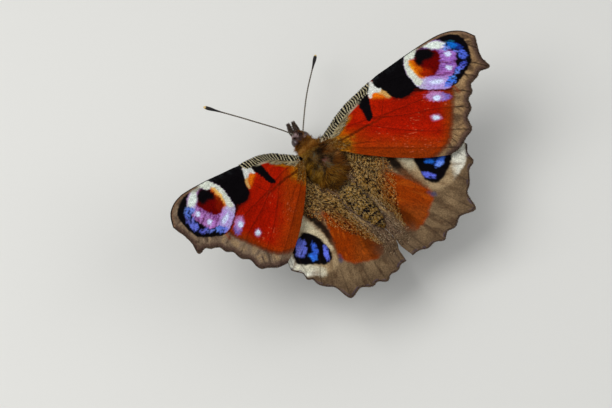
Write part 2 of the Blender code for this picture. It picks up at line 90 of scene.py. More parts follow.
def set_up(obj, right, up, back, where):
    """Put in a camera or lamp, turned and placed: right, up, back and where are the columns of its matrix."""
    turned = np.eye(4)
    turned[:3] = np.stack([right, up, back, where], 1)
    linked(obj).matrix_world = Matrix(turned.tolist())

lens = bpy.data.cameras.new("camera")
lens.lens, lens.sensor_width = LENS, SENSOR
lens.clip_start, lens.clip_end = NEAREST, FARTHEST
lens.shift_x = -(BODY_PX[0] - PHOTO_W / 2) / PHOTO_W
lens.shift_y = (BODY_PX[1] - PHOTO_H / 2) / PHOTO_W
camera = bpy.data.objects.new("camera", lens)
right, up, back = aim(AZIMUTH, ELEVATION, ROLL)
place = (SHIFT + back * DISTANCE) * MM
set_up(camera, right, up, back, place)
bpy.context.scene.camera = camera
print("camera", place.round(4), "shift", round(lens.shift_x, 4), round(lens.shift_y, 4))

# %% [markdown]
# ## Curves
# Almost everything below is a smooth curve through a few named points. It could be a Bezier curve with
# handles; here each span takes its slopes from the neighbouring points, so that the points are all there is
# to change. Everything is written for whole arrays at a time.

# %% curves
TINY = 1e-12

def unit(v):
    """A vector divided by its length."""
    return v / (np.linalg.norm(v, axis=-1, keepdims=True) + TINY)

def span(s, a, b, slope_a, slope_b):
    """Cubic from a to b as s runs from 0 to 1: a times 2s^3 - 3s^2 + 1, b times 3s^2 - 2s^3, and the slopes at
    the two ends times s^3 - 2s^2 + s and s^3 - s^2."""
    return ((2 * s**3 - 3 * s**2 + 1) * a + (s**3 - 2 * s**2 + s) * slope_a
            + (3 * s**2 - 2 * s**3) * b + (s**3 - s**2) * slope_b)

def through(points, t, knots=None):
    """Curve through the points, a cubic span between each two, with t from 0 to 1 by chord length. The slope
    at a point comes from its two neighbours."""
    p = np.asarray(points, float)
    if knots is None:
        knots = np.concatenate([[0], np.cumsum(np.linalg.norm(np.diff(p, axis=0), axis=1))])
        knots = knots / knots[-1]
    slope = np.gradient(p, knots, axis=0)
    t = np.asarray(t, float)
    i = np.clip(np.searchsorted(knots, t, side="right") - 1, 0, len(p) - 2)
    h = knots[i + 1] - knots[i]
    s, h = ((t - knots[i]) / h)[..., None], h[..., None]
    return span(s, p[i], p[i + 1], h * slope[i], h * slope[i + 1])

def ramp(low, high, x):
    """Smooth step: t goes from 0 at low to 1 at high and stays there, and the step is 3t^2 - 2t^3."""
    t = np.clip((np.asarray(x, float) - low) / (high - low), 0, 1)
    return t * t * (3 - 2 * t)

print("a smooth step, a quarter of the way up:", ramp(0, 1, 0.25))

# %% [markdown]
# ## Outlines
# A mark on a wing is a closed outline. It could be a picture, but its border would blur up close. Read as a
# signed distance, plus inside and minus outside, it can have a sharp, a soft or a ragged border at any size.

# %% outlines
CHORDS = 4

def blob(x, y, outline):
    """Signed distance to a closed smooth outline, positive inside: the least distance to its short chords.
    A point is inside where a line from it to the right crosses the chords an odd number of times."""
    here = np.asarray(outline, float)[:, None]
    before, after, later = (np.roll(here, k, axis=0) for k in (1, -1, -2))
    s = np.linspace(0, 1, CHORDS, endpoint=False)[:, None]
    ring = span(s, here, after, (after - before) / 2, (later - here) / 2).reshape(-1, 2)
    px, py = np.asarray(x, float), np.asarray(y, float)
    best = np.full(px.shape, np.inf)
    inside = np.zeros(px.shape, bool)
    for (ax, ay), (bx, by) in zip(ring, np.roll(ring, -1, axis=0)):
        ex, ey = bx - ax, by - ay
        t = np.clip(((px - ax) * ex + (py - ay) * ey) / (ex * ex + ey * ey + TINY), 0, 1)
        best = np.minimum(best, (px - ax - t * ex) ** 2 + (py - ay - t * ey) ** 2)
        cross = ((ay > py) != (by > py)) & (px < ex * (py - ay) / (ey + TINY) + ax)
        inside ^= cross
    return np.where(inside, 1, -1) * np.sqrt(best)

def oval(x, y, cx, cy, rx, ry, tilt=0.0):
    """Rough signed distance to an ellipse, positive inside: one less the point's distance in radii, times the
    smaller radius. The long axis is turned by tilt degrees."""
    c, s = math.cos(math.radians(tilt)), math.sin(math.radians(tilt))
    dx, dy = (x - cx) * c + (y - cy) * s, (y - cy) * c - (x - cx) * s
    return (1 - np.sqrt((dx / rx) ** 2 + (dy / ry) ** 2)) * min(rx, ry)

def near(x, y, path):
    """Distance to a bent line, and how far along it the nearest point lies: each chord's nearest point is where
    the chord is square to the way there, or else its end."""
    path = np.asarray(path, float)
    best, run = np.full(np.shape(x), np.inf), np.zeros(np.shape(x))
    start = 0.0
    for (ax, ay), (bx, by) in zip(path[:-1], path[1:]):
        ex, ey = bx - ax, by - ay
        length = math.hypot(ex, ey)
        t = np.clip(((x - ax) * ex + (y - ay) * ey) / (length * length + TINY), 0, 1)
        d = np.hypot(x - ax - t * ex, y - ay - t * ey)
        run = np.where(d < best, start + t * length, run)
        best = np.minimum(best, d)
        start += length
    return best, run

print("from the middle of a round outline of radius 1 to its edge:",
      blob(0, 0, [(1, 0), (0, 1), (-1, 0), (0, -1)]).round(2))

# %% [markdown]
# ## Noise and paint
# Nothing on an animal is even: rows of scales, clumps of hair and worn places vary smoothly. Noise from a
# small table of random heights gives this, the same at every run. Paint is laid on as on paper, one colour
# over the last, each as far as its cover says.

# %% noise and paint
NOISE_CELLS = 128

def noise(x, y, seed=0):
    """Value noise from -1 to 1: a random height at each whole number, and smooth steps between the four
    heights round a point."""
    table = np.random.default_rng(seed).uniform(-1, 1, (NOISE_CELLS, NOISE_CELLS))
    x, y = np.asarray(x, float), np.asarray(y, float)
    i, j = np.floor(x).astype(int), np.floor(y).astype(int)
    fx, fy = x - i, y - j
    fx, fy = fx * fx * (3 - 2 * fx), fy * fy * (3 - 2 * fy)
    i0, j0, i1, j1 = (k % NOISE_CELLS for k in (i, j, i + 1, j + 1))
    return ((table[i0, j0] * (1 - fx) + table[i1, j0] * fx) * (1 - fy)
            + (table[i0, j1] * (1 - fx) + table[i1, j1] * fx) * fy)

def layered(x, y, seed=0):
    """Three layers of value noise, each twice as fine and half as strong as the last, over their summed
    strength."""
    return sum(noise(x * 2**k, y * 2**k, seed + 31 * k) / 2**k for k in range(3)) / 1.75

def linear(colour):
    """Screen colour of 0 to 255 into the light-linear one that a shader takes: a straight line near black and
    a power of 2.4 above."""
    c = np.asarray(colour, float) / 255
    return np.where(c <= 0.04045, c / 12.92, ((c + 0.055) / 1.055) ** 2.4)

def over(base, colour, cover):
    """Paint a colour over an array of colours: base (1 - cover) + colour (cover)."""
    cover = np.clip(np.asarray(cover, float), 0, 1)[..., None]
    return base * (1 - cover) + linear(colour) * cover

def plain(shape, colour):
    """An array of one colour, one for each point."""
    return np.ones(tuple(shape) + (3,)) * linear(colour)

print("noise runs from", noise(*np.mgrid[0:9:0.5, 0:9:0.5]).min().round(2), "to",
      noise(*np.mgrid[0:9:0.5, 0:9:0.5]).max().round(2))

# %% [markdown]
# ## Meshes from arrays
# A mesh is points, faces and what rides on them: a colour for each point, and a flat map. One helper
# sets them all with foreach_set, which is far quicker than a loop.

# %% mesh helper
def piece(name, points, faces, material, paint, flat=None, bake=None):
    """Mesh object from (n, 3) points in the animal's frame and (m, k) faces, riding on the body: a place is the
    point plus the frame's shift, in metres. Flat and bake are places on the two flat maps."""
    mesh = bpy.data.meshes.new(name)
    place = ((points + SHIFT) * MM).astype(np.float32)
    faces = np.asarray(faces, np.int32)
    mesh.vertices.add(len(place))
    mesh.vertices.foreach_set("co", place.ravel())
    mesh.loops.add(faces.size)
    mesh.loops.foreach_set("vertex_index", faces.ravel())
    mesh.polygons.add(len(faces))
    mesh.polygons.foreach_set("loop_start", np.arange(0, faces.size, faces.shape[1], dtype=np.int32))
    mesh.polygons.foreach_set("use_smooth", np.ones(len(faces), bool))
    mesh.update(calc_edges=True)
    layer = mesh.color_attributes.new(name="paint", type="FLOAT_COLOR", domain="POINT")
    rgba = np.ones((len(place), 4), np.float32)
    rgba[:, :3] = paint
    layer.data.foreach_set("color", rgba.ravel())
    for label, where in (("lay", flat), ("OFBake", bake)):
        if where is not None:
            layer = mesh.uv_layers.new(name=label)
            layer.data.foreach_set("uv", np.asarray(where, np.float32)[faces.ravel()].ravel())
    mesh.materials.append(material)
    obj = linked(bpy.data.objects.new(name, mesh))
    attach(obj, "root")
    return obj

def sheet_faces(rows, cols, closed=False):
    """Quads of a grid of rows by cols points, with point (i, j) at number i cols + j. Closed joins the last
    column to the first."""
    i, j = np.meshgrid(np.arange(rows - 1), np.arange(cols if closed else cols - 1), indexing="ij")
    k = (j + 1) % cols
    return np.stack([i * cols + j, i * cols + k, (i + 1) * cols + k, (i + 1) * cols + j], -1).reshape(-1, 4)

print("a sheet of 3 by 4 points has", len(sheet_faces(3, 4)), "faces, and a tube", len(sheet_faces(3, 4, True)))

# %% [markdown]
# ## Materials
# A butterfly's colour is in its scales, so the paint is worked out at each point of a wing and carried
# as a colour attribute. The shader adds what is finer than the points: single scales, which change the
# shade a little and roughen the surface. A picture wrapped on the wing would need one pixel for each scale.

# %% materials
BUMP_DEEP, SCALE_SHADE = 0.00003, (0.72, 1.3)

def nodes_of(name, roughness, specular, coat=0.0):
    """A Principled material with its plain numbers set on its own sockets."""
    mat = bpy.data.materials.new(name)
    mat.use_nodes = True
    shader = mat.node_tree.nodes["Principled BSDF"]
    shader.inputs["Roughness"].default_value = roughness
    shader.inputs["Specular IOR Level"].default_value = specular
    shader.inputs["Coat Weight"].default_value = coat
    return mat, mat.node_tree, shader

def painted(tree):
    """The colour that the mesh carries at each point."""
    node = tree.nodes.new("ShaderNodeAttribute")
    node.attribute_name = "paint"
    return node.outputs["Color"]

def times(tree, colour, grey, low, high):
    """Colour made darker or lighter by a grey pattern mapped to low..high."""
    scaled = tree.nodes.new("ShaderNodeMapRange")
    scaled.inputs["To Min"].default_value, scaled.inputs["To Max"].default_value = low, high
    tree.links.new(grey, scaled.inputs["Value"])
    mix = tree.nodes.new("ShaderNodeVectorMath")
    mix.operation = "SCALE"
    tree.links.new(colour, mix.inputs[0])
    tree.links.new(scaled.outputs["Result"], mix.inputs["Scale"])
    return mix.outputs["Vector"]

def bumped(tree, shader, height, distance, strength):
    """Tilt the shading as if the surface stood up by the height times the distance."""
    bump = tree.nodes.new("ShaderNodeBump")
    bump.inputs["Distance"].default_value = distance
    bump.inputs["Strength"].default_value = strength
    tree.links.new(height, bump.inputs["Height"])
    tree.links.new(bump.outputs["Normal"], shader.inputs["Normal"])

def cell_pattern(tree, where, scale, chance):
    """Voronoi cells: each point takes the nearest of many seeds, which chance moves off an even grid."""
    cells = tree.nodes.new("ShaderNodeTexVoronoi")
    cells.inputs["Scale"].default_value = scale
    cells.inputs["Randomness"].default_value = chance
    tree.links.new(where, cells.inputs["Vector"])
    return cells

def scale_material(name, along, across):
    """Wing scales: cells of a Voronoi pattern on the wing's flat map, longer than wide, each its own shade."""
    mat, tree, shader = nodes_of(name, 0.7, 0.02)
    flat = tree.nodes.new("ShaderNodeUVMap")
    flat.uv_map = "lay"
    stretch = tree.nodes.new("ShaderNodeMapping")
    stretch.inputs["Scale"].default_value = (along, across, 1.0)
    tree.links.new(flat.outputs["UV"], stretch.inputs["Vector"])
    cells = cell_pattern(tree, stretch.outputs["Vector"], 1.0, 0.75)
    cells.voronoi_dimensions = "2D"
    shade = tree.nodes.new("ShaderNodeSeparateColor")
    tree.links.new(cells.outputs["Color"], shade.inputs["Color"])
    colour = times(tree, painted(tree), shade.outputs["Red"], *SCALE_SHADE)
    tree.links.new(colour, shader.inputs["Base Color"])
    bumped(tree, shader, cells.outputs["Distance"], BUMP_DEEP, 0.7)
    return mat

def plain_paint(name, roughness, specular, grain=0.0, grain_size=1.0):
    """Painted surface with a fine grain in the object's own space: the colour times 1 - grain to 1 + grain."""
    mat, tree, shader = nodes_of(name, roughness, specular)
    colour = painted(tree)
    if grain:
        where = tree.nodes.new("ShaderNodeTexCoord")
        spots = tree.nodes.new("ShaderNodeTexNoise")
        spots.inputs["Scale"].default_value = grain_size
        spots.inputs["Detail"].default_value = 2.0
        tree.links.new(where.outputs["Object"], spots.inputs["Vector"])
        colour = times(tree, colour, spots.outputs["Fac"], 1 - grain, 1 + grain)
        bumped(tree, shader, spots.outputs["Fac"], BUMP_DEEP, 0.5)
    tree.links.new(colour, shader.inputs["Base Color"])
    return mat

WING_SCALES = scale_material("wing_scales", 6.5, 10.0)
HAIR = plain_paint("body_hair", 0.6, 0.04)
SKIN = plain_paint("body_skin", 0.6, 0.3, 0.3, 6000.0)
print("materials so far:", ", ".join(m.name for m in (WING_SCALES, HAIR, SKIN)))

# %% [markdown]
# ## The wings' outlines and veins
# A forewing has a hooked tip, a hindwing a scalloped edge with a short tail. Each is given by its front
# edge, or costa, its inner edge, and its outer edge twice, once smooth and once with its teeth. The points
# are millimetres on the flat wing. The veins are given as shares of the wing, so that they follow its shape.

# %% wing outlines
FORE = {"costa": [(-1.5, 0.9), (-0.9, 1.7), (0.1, 3.3), (1.4, 5.2), (3, 6.9), (4.7, 8.3), (6.4, 9.6), (8.2, 10.9),
            (10.2, 12.2), (12.3, 13.6), (14.4, 14.95), (16.4, 16.15), (18.4, 17.15), (20.5, 17.7), (22.5, 17.6),
            (24.2, 16.9)],
        "inner": [(-1.5, -0.5), (0, -0.8), (2, -1.25), (5, -1.75), (9, -2.15), (13, -2.35), (17, -2.25),
            (20.3, -1.8)],
        "smooth": [(0, 24.2, 16.9), (0.12, 24.7, 14.7), (0.25, 25, 12.2), (0.4, 24.1, 9.9), (0.55, 23.5, 7),
            (0.79, 23.3, 2.2), (0.9, 22.3, 0.2), (1, 20.3, -1.8)],
        "teeth": [(0, 24.2, 16.9), (0.055, 24.5, 15.9), (0.11, 24.75, 14.9), (0.18, 25.3, 13.5), (0.25, 26.6, 12),
            (0.31, 25, 11.3), (0.37, 24.65, 10.5), (0.43, 23.6, 9.3), (0.49, 23.8, 8.1), (0.555, 23.2, 7),
            (0.62, 23.65, 5.6), (0.705, 23.05, 4.1), (0.79, 23.75, 2.2), (0.86, 22.8, 0.9), (0.93, 21.9, -0.6),
            (1, 20.3, -1.8)],
        "veins": [[(0, 0.05), (0.3, 0.03), (0.62, 0.025)], [(0, 0.2), (0.2, 0.13), (0.46, 0.11), (1, 0.11)],
            [(0.46, 0.12), (0.6, 0.18), (0.8, 0.23), (1, 0.25)],
            [(0.46, 0.3), (0.6, 0.34), (0.8, 0.365), (1, 0.37)], [(0.46, 0.13), (0.465, 0.3), (0.46, 0.52)],
            [(0, 0.55), (0.2, 0.5), (0.46, 0.52)], [(0.46, 0.52), (0.7, 0.5), (1, 0.49)],
            [(0.4, 0.52), (0.6, 0.585), (0.8, 0.61), (1, 0.62)],
            [(0.28, 0.52), (0.5, 0.68), (0.75, 0.77), (1, 0.79)], [(0, 0.9), (0.4, 0.9), (1, 0.93)]],
        "root": np.array([3, 1.8, 1.8]),
        "angles": {1: (-46.7, 26.1, 8), -1: (-36.1, 25.4, 10.5)}}
HIND = {"costa": [(-1, 2), (0.2, 2.9), (2, 3.5), (5, 3.5), (9, 2.5), (13, 0.9), (16.5, -0.9), (18.8, -2.6),
            (20.2, -4.4)],
        "inner": [(-1, -1.2), (0.3, -2.8), (1, -5), (1.5, -7.3), (2, -9.7), (2.5, -12.1), (4.1, -14.6), (5.4, -17),
            (6.9, -19.3)],
        "smooth": [(0, 20.2, -4.4), (0.13, 20, -7.5), (0.29, 18.8, -10.9), (0.45, 17.6, -14.3), (0.6, 15.3, -16.5),
            (0.77, 12.2, -18.3), (0.895, 9.4, -19), (1, 6.9, -19.3)],
        "teeth": [(0, 20.2, -4.4), (0.065, 19.9, -5.9), (0.13, 20.35, -7.5), (0.21, 19.2, -8.8),
            (0.29, 18.8, -10.9), (0.385, 17.95, -12.6), (0.48, 18.4, -15.5), (0.57, 15.8, -15.8),
            (0.66, 14.5, -17.3), (0.715, 13.2, -17.5), (0.77, 12.4, -18.7), (0.83, 10.9, -18.5),
            (0.895, 9.4, -19.1), (0.95, 8.2, -18.95), (1, 6.9, -19.3)],
        "veins": [[(0, 0.3), (0.2, 0.13), (0.5, 0.06), (0.95, 0.03)],
            [(0, 0.4), (0.35, 0.2), (0.6, 0.14), (1, 0.13)], [(0.35, 0.2), (0.4, 0.33), (0.6, 0.31), (1, 0.29)],
            [(0.4, 0.33), (0.42, 0.5), (0.7, 0.49), (1, 0.48)], [(0, 0.6), (0.25, 0.55), (0.42, 0.5)],
            [(0.4, 0.53), (0.6, 0.62), (1, 0.66)], [(0.25, 0.55), (0.5, 0.7), (1, 0.77)],
            [(0, 0.8), (0.5, 0.86), (1, 0.895)], [(0, 0.93), (0.5, 0.94), (1, 0.965)]],
        "root": np.array([2.4, -1.8, 1]),
        "angles": {1: (-25.2, 17.8, -9.4), -1: (-18.3, 21.2, -8.2)}}
print(len(FORE["veins"]), "veins on a forewing,", len(HIND["veins"]), "on a hindwing")

# %% [markdown]
# ## The small differences between left and right
# One wing shape was fitted to both sides of the photograph, and what was left over is kept here as small
# moves: how far each forewing's front edge lies out, and how far the left hindwing's front corner is drawn
# in. Here too are the wing's low arch, the gap that keeps the hindwing below the forewing, and the trough
# that its inner part makes for the abdomen.

# %% side differences, arch and trough
COSTA_OUT = {1: [(-1.5, 0), (-0.5, -0.25), (1.5, -0.4), (4, -0.35), (6, -0.2), (8, 0)], -1: [(-1.5, 0.1), (0, 0.25),
    (1, 0.45), (3, 0.5), (5, 0.35), (7, 0.15), (9, 0.2), (13, 0.35), (18, 0.45), (22, 0.4), (24, 0.1)]}
COSTA_WAY, COSTA_FADE = (-0.55, 0.83), 0.3
CORNER_MOVE = {1: (0.0, 0.0), -1: (-2.0, -0.94)}
CORNER_X, CORNER_Y = (8.0, 20.0), (-10.5, -6.0)
CAMBER, ARCH_SPAN, FRONT_ROLL, ROLL_SHARE = 0.35, 24.0, 0.25, 0.2
WING_CLEAR, TUCK_SOFT, TUCK_END, TUCK_RUN = 1.06, 0.02, 6.0, 3.3
TROUGH_WIDE, TROUGH_FLAT = 5.0, 2.2
TROUGH_PAST, TROUGH_DROP = 0.07, 0.3
TROUGH_FRONT, TROUGH_REAR = (-3.2, -8.0), (-20.2, -16.4)
ABDOMEN_LINE = np.array([(-14.3, 0.88, -1.44), (-13.6, 0.8, -1.36), (-12.4, 0.66, -1.23), (-10.8, 0.48, -1.05),
                         (-9.0, 0.3, -0.85), (-7.2, 0.15, -0.65), (-5.6, 0.06, -0.5), (-4.0, 0.0, -0.37)])
print("the left forewing's front edge lies out by up to", max(out for _, out in COSTA_OUT[-1]), "mm")

# %% [markdown]
# ## The wing's surface
# A wing is a sheet between two edges. A point has u from root to outer edge and v from front to rear; the
# outer edge's bow and its teeth are added with powers of u, so that they fade towards the root. A formula
# gives every point a place on the wing, which a drawn mesh doesn't, and paint and hairs rest on it too.

# %% wing surface
def wing_plane(w, side, u, v):
    """P = (1-v) front(u) + v rear(u) + u^1.5 (bow of the outer edge) + u^8 (its teeth). The sides differ a
    little: the forewing's front edge lies further out or in, and the left hindwing's front corner is drawn in."""
    s, t = np.asarray(w["smooth"], float), np.asarray(w["teeth"], float)
    u, v = np.broadcast_arrays(np.asarray(u, float), np.asarray(v, float))
    edge, teeth = through(s[:, 1:], v, s[:, 0]), through(t[:, 1:], v, t[:, 0])
    chord = (1 - v)[..., None] * s[0, 1:] + v[..., None] * s[-1, 1:]
    bow = (u**1.5)[..., None] * (edge - chord) + (u**8)[..., None] * (teeth - edge)
    flat = (1 - v)[..., None] * through(w["costa"], u) + v[..., None] * through(w["inner"], u) + bow
    x, y = flat[..., 0], flat[..., 1]
    if w is FORE:
        out = np.interp(x, *np.transpose(COSTA_OUT[side])) * np.clip(1 - v / COSTA_FADE, 0, 1)
        return flat + out[..., None] * np.array(COSTA_WAY)
    return flat + (ramp(*CORNER_X, x) * ramp(*CORNER_Y, y))[..., None] * np.array(CORNER_MOVE[side])

def spin_of(angles):
    """Turn by the twist about X, then the sweep about Z, then the dihedral about -Y."""
    sweep, dihedral, twist = (math.radians(a) for a in angles)
    c, s = math.cos(twist), math.sin(twist)
    about_x = np.array([[1, 0, 0], [0, c, -s], [0, s, c]])
    c, s = math.cos(sweep), math.sin(sweep)
    about_z = np.array([[c, -s, 0], [s, c, 0], [0, 0, 1]])
    c, s = math.cos(-dihedral), math.sin(-dihedral)
    about_y = np.array([[c, 0, s], [0, 1, 0], [-s, 0, c]])
    return about_y @ about_z @ about_x

def arched(x):
    """Half a sine wave over the wing's span: 0 at the root, 1 halfway, 0 at the tip."""
    return np.sin(np.pi * np.clip(x / ARCH_SPAN, 0, 1))

def tucked(p, side):
    """Lower the hindwing's front until it is clear below the forewing: the height h over it becomes half of
    h + the root of (h^2 + a little), which is nearly nought below and nearly h above."""
    spin = spin_of(FORE["angles"][side])
    q = (p - FORE["root"]) @ spin
    above = q[..., 2] - CAMBER * arched(q[..., 0]) + WING_CLEAR
    above = 0.5 * (above + np.sqrt(above * above + TUCK_SOFT))
    q[..., 2] -= above * ramp(0, 1, (q[..., 1] + TUCK_END) / TUCK_RUN)
    return q @ spin.T + FORE["root"]

def gathered(p, edge, side):
    """Draw the hindwing's inner part down and inwards, as a trough for the abdomen: the move that brings its
    edge to the abdomen's middle line is shared out by smooth steps, across the wing and along the body."""
    y = p[..., 1]
    target = side * np.interp(y, ABDOMEN_LINE[:, 0], ABDOMEN_LINE[:, 1]) + TROUGH_PAST
    depth = np.interp(y, ABDOMEN_LINE[:, 0], ABDOMEN_LINE[:, 2]) - TROUGH_DROP
    hold = 1 - ramp(TROUGH_FLAT, TROUGH_WIDE, p[..., 0] - edge[..., 0])
    hold = hold * (1 - ramp(TROUGH_FRONT[1], TROUGH_FRONT[0], y)) * ramp(*TROUGH_REAR, y)
    move = np.stack([target - edge[..., 0], np.zeros_like(y), depth - edge[..., 2]], -1)
    return p + move * hold[..., None]

def wing_surface(w, side, u, v):
    """Middle surface: the plane arched by a half sine over the span, its front edge rolled down, turned to its
    set; the hindwing is then tucked under the forewing and gathered beside the abdomen."""
    flat = wing_plane(w, side, u, v)
    arch = arched(flat[..., 0])
    z = CAMBER * arch - FRONT_ROLL * np.clip(1 - v / ROLL_SHARE, 0, 1) ** 2 * arch
    spin = spin_of(w["angles"][side])
    p = np.concatenate([flat, z[..., None]], -1) @ spin.T + w["root"]
    if w is HIND:
        edge = wing_plane(w, side, u, np.ones_like(v))
        edge = np.concatenate([edge, np.zeros_like(edge[..., :1])], -1) @ spin.T + w["root"]
        p = gathered(tucked(p, side), edge, side)
    p[..., 0] *= side
    return p

VEIN_POINTS = 22

def vein_gap(w, side, x, y):
    """Distance in millimetres to the nearest vein: the least of the distances to each vein's bent line."""
    gap = np.full(np.shape(x), np.inf)
    for path in w["veins"]:
        bend = through(path, np.linspace(0, 1, VEIN_POINTS))
        gap = np.minimum(gap, near(x, y, wing_plane(w, side, np.clip(bend[:, 0], 0, 1), bend[:, 1]))[0])
    return gap

tip = wing_surface(FORE, -1, np.array([1.0]), np.array([0.0]))[0]
print("left forewing from root to tip:", np.linalg.norm(tip - FORE["root"] * [-1, 1, 1]).round(1), "mm")

# %% [markdown]
# ## The forewing's markings
# Each mark is an outline in millimetres on the flat wing, read as a signed distance, so that its border
# can be sharp or soft. The outlines are a little shaken by noise, as a border of scales is never a clean
# line. The colours are screen colours, read by eye from the photograph and put right by comparing renders.

# %% colours and outlines of the forewing
BRICK, RUST, GOLD = (156, 20, 0), (143, 48, 4), (160, 96, 10)
BLACK, SOOT, DARK_RED = (7, 5, 7), (34, 24, 20), (92, 2, 0)
CREAM, CHALK, YELLOW, ORANGE = (206, 194, 160), (202, 207, 192), (200, 156, 88), (216, 104, 8)
LILAC, PINK_LILAC, PALE_LILAC = (140, 92, 174), (156, 94, 166), (166, 152, 206)
ICE, DEEP_BLUE, VIOLET_BLUE = (204, 214, 242), (14, 98, 188), (88, 96, 204)
TAN, BROWN, UMBER, VIOLET = (132, 104, 72), (80, 60, 50), (56, 40, 32), (44, 32, 40)
BAR = [(4.8, 7.3), (5.5, 8.1), (6.55, 8), (6.85, 7.2), (7.05, 6.2), (7.35, 5.2), (7.5, 4.4), (7.25, 3.75),
    (6.9, 3.5), (6.5, 3.7), (6.2, 4.4), (5.75, 5.1), (5.25, 5.7), (4.9, 6.4)]
PATCH = [(7.6, 9.4), (8, 9.05), (8.9, 8.65), (9.8, 8.15), (10.6, 7.5), (11.5, 7.15), (12.5, 7.2), (13.3, 7.5),
    (14.2, 8.1), (15.6, 8.5), (15.4, 9.2), (14.4, 9.8), (13.5, 10.9), (12.9, 11.9), (12.7, 12.8), (12.9, 14.2),
    (12.6, 16), (9, 14), (7.3, 11.4)]
WHITE_MARK = [(6.6, 7.9), (6.5, 8.7), (6.7, 9.4), (7.1, 9.9), (7.6, 9.7), (8, 9.2), (8.5, 9), (9, 8.6), (8.5, 8.15),
    (7.6, 8), (7.3, 7.4), (7, 7.2)]
CREAM_MARK = [(7.6, 8.4), (9, 8.9), (9.9, 8.3), (10.5, 7.5), (10.1, 7.15), (9.2, 7.7), (8.2, 8)]
GLOW_MARK = [(7, 7.4), (7.4, 8.1), (8.6, 8.3), (9.6, 7.9), (10.5, 7.2), (10.2, 6.8), (8.9, 7), (7.4, 6.7)]
FIELD = [(12, -8), (17.2, -2.6), (18.4, -1.6), (19.4, -0.6), (20.1, 0.6), (20.4, 2.2), (20.6, 4.4), (20.7, 6.7),
    (20.8, 8.7), (20.9, 9.2), (10, 22), (-8, 22), (-8, -8)]
EYESPOT = [(13.2, 15.4), (15.5, 16.9), (17, 17.3), (18.3, 17), (20, 17.2), (21.4, 17.1), (22.5, 16.3), (23.2, 15.2),
    (23.6, 13.9), (23.7, 12.9), (23.3, 12), (22.7, 11.1), (22, 10.2), (21.3, 9.3), (20.3, 8.8), (18.5, 8.55),
    (16.5, 8.55), (15.3, 8.8), (14.4, 9.6), (13.6, 10.6), (13, 11.5), (12.7, 12.6), (12.75, 13.8)]
LIT = [(12, 15.6), (15, 16), (16.5, 16.15), (18.2, 16.25), (19.4, 15.8), (20, 15.1), (20.8, 14.5), (21.2, 13.6),
    (21.2, 12.6), (21.1, 11.6), (20.6, 10.8), (20.2, 10.2), (20.6, 9.6), (20.4, 8.9), (19.5, 8.4), (16, 8),
    (13.5, 9), (12, 11)]
CRESCENT = [(12.6, 13.6), (12.7, 12.4), (13, 11.4), (13.7, 10.4), (14.5, 9.4), (15.3, 9.1), (15.8, 9.8), (15, 10.6),
    (14.3, 11.3), (13.75, 12), (13.45, 12.8), (13.7, 13.3), (14.4, 13.4), (14.75, 14), (14.6, 14.5), (15.3, 15.1),
    (16.5, 15.3), (16.5, 16.1), (15, 16.2), (13.4, 15.6)]
GLOW = [(13.5, 13.2), (14.7, 13.3), (15.6, 12.4), (16.2, 11.6), (16.6, 10.7), (15.6, 10.2), (14.5, 10.9),
    (13.7, 11.8)]
CORE = [(14.7, 14.6), (15.3, 14.9), (16.8, 14.95), (17.5, 14.75), (18.3, 14.6), (18.6, 13.5), (18.6, 12.5),
    (18.4, 11.5), (17.9, 10.9), (16.9, 10.6), (15.9, 10.6), (15.2, 11.2), (14.9, 12), (14.5, 13), (14.6, 13.9)]
BLUE_MARKS = [(20.2, 15.95, 0.7, 0.22, 0, (16, 78, 104)), (21.5, 15.3, 0.9, 0.4, -25, (22, 48, 130)),
    (20.3, 15.4, 1, 0.46, -4, DEEP_BLUE), (19.6, 14.95, 0.6, 0.3, 8, (112, 140, 222)), (22.25, 14, 0.8, 0.62, -35,
    (74, 98, 206)), (21.1, 14.45, 0.45, 0.2, 0, (110, 118, 214)), (22.4, 12.4, 0.55, 0.35, 50, (70, 84, 200)),
    (21.8, 11.9, 0.62, 0.42, 30, VIOLET_BLUE), (21.6, 11.35, 0.55, 0.24, 40, (98, 130, 220)), (20.4, 9.9, 0.9, 0.6,
    38, (58, 108, 212)), (20.6, 10.35, 0.5, 0.22, 15, (84, 140, 226)), (20, 9.2, 0.6, 0.3, 10, (96, 112, 210))]
ICE_SPOTS = [(19.85, 14.05, 0.5, 0.4, 0), (20.1, 11.9, 0.5, 0.38, 0), (18.1, 9.7, 1.05, 0.36, 8)]
print(len(BLUE_MARKS), "blue marks in a forewing's eye")

# %% [markdown]
# ## The leading edge's fine bars
# The forewing's front edge is barred in black and cream near the root. The bars could be drawn one by one; a
# sine wave along the edge, its phase shaken by noise, gives them all, and the tufts that stand on them too.

# %% bars
ZEBRA_STEP, ZEBRA_WIDE, ZEBRA_END = {1: 0.5, -1: 0.6}, 1.15, 6.7
ZEBRA_LEAN, ZEBRA_SHAKE, ZEBRA_LIGHT = 0.2, 2.6, 0.6
COSTA_POINTS = 70

def soft(d, blur=0.09):
    """Cover of a mark from its signed distance: half at the outline, full a blur's width inside."""
    return ramp(-blur, blur, d)

def zebra(run, lead, side):
    """Wave of the bars, above nought on a light bar: the sine of a whole turn for each step along the edge,
    leaning back with the distance in, plus noise."""
    shake = ZEBRA_SHAKE * noise(run * 0.9, lead * 1.6, 44 + side)
    return np.sin(2 * np.pi * (run + ZEBRA_LEAN * lead) / ZEBRA_STEP[side] + shake)

def costa_lead(side, x, y):
    """Distance in from the forewing's front edge, and how far along it: the distance to its bent line."""
    return near(x, y, wing_plane(FORE, side, np.linspace(0, 1, COSTA_POINTS), np.zeros(COSTA_POINTS)))

print("a forewing has about", round(ZEBRA_END / ZEBRA_STEP[1]), "bars on the right")

# %% [markdown]
# ## The forewing's ground
# Under the marks lies a brick red, darker towards the eyespot, rust behind, and golden and speckled at the
# root. One flat red would look like printed cloth, so it is many thin coats, with streaks that follow the
# rows of scales.

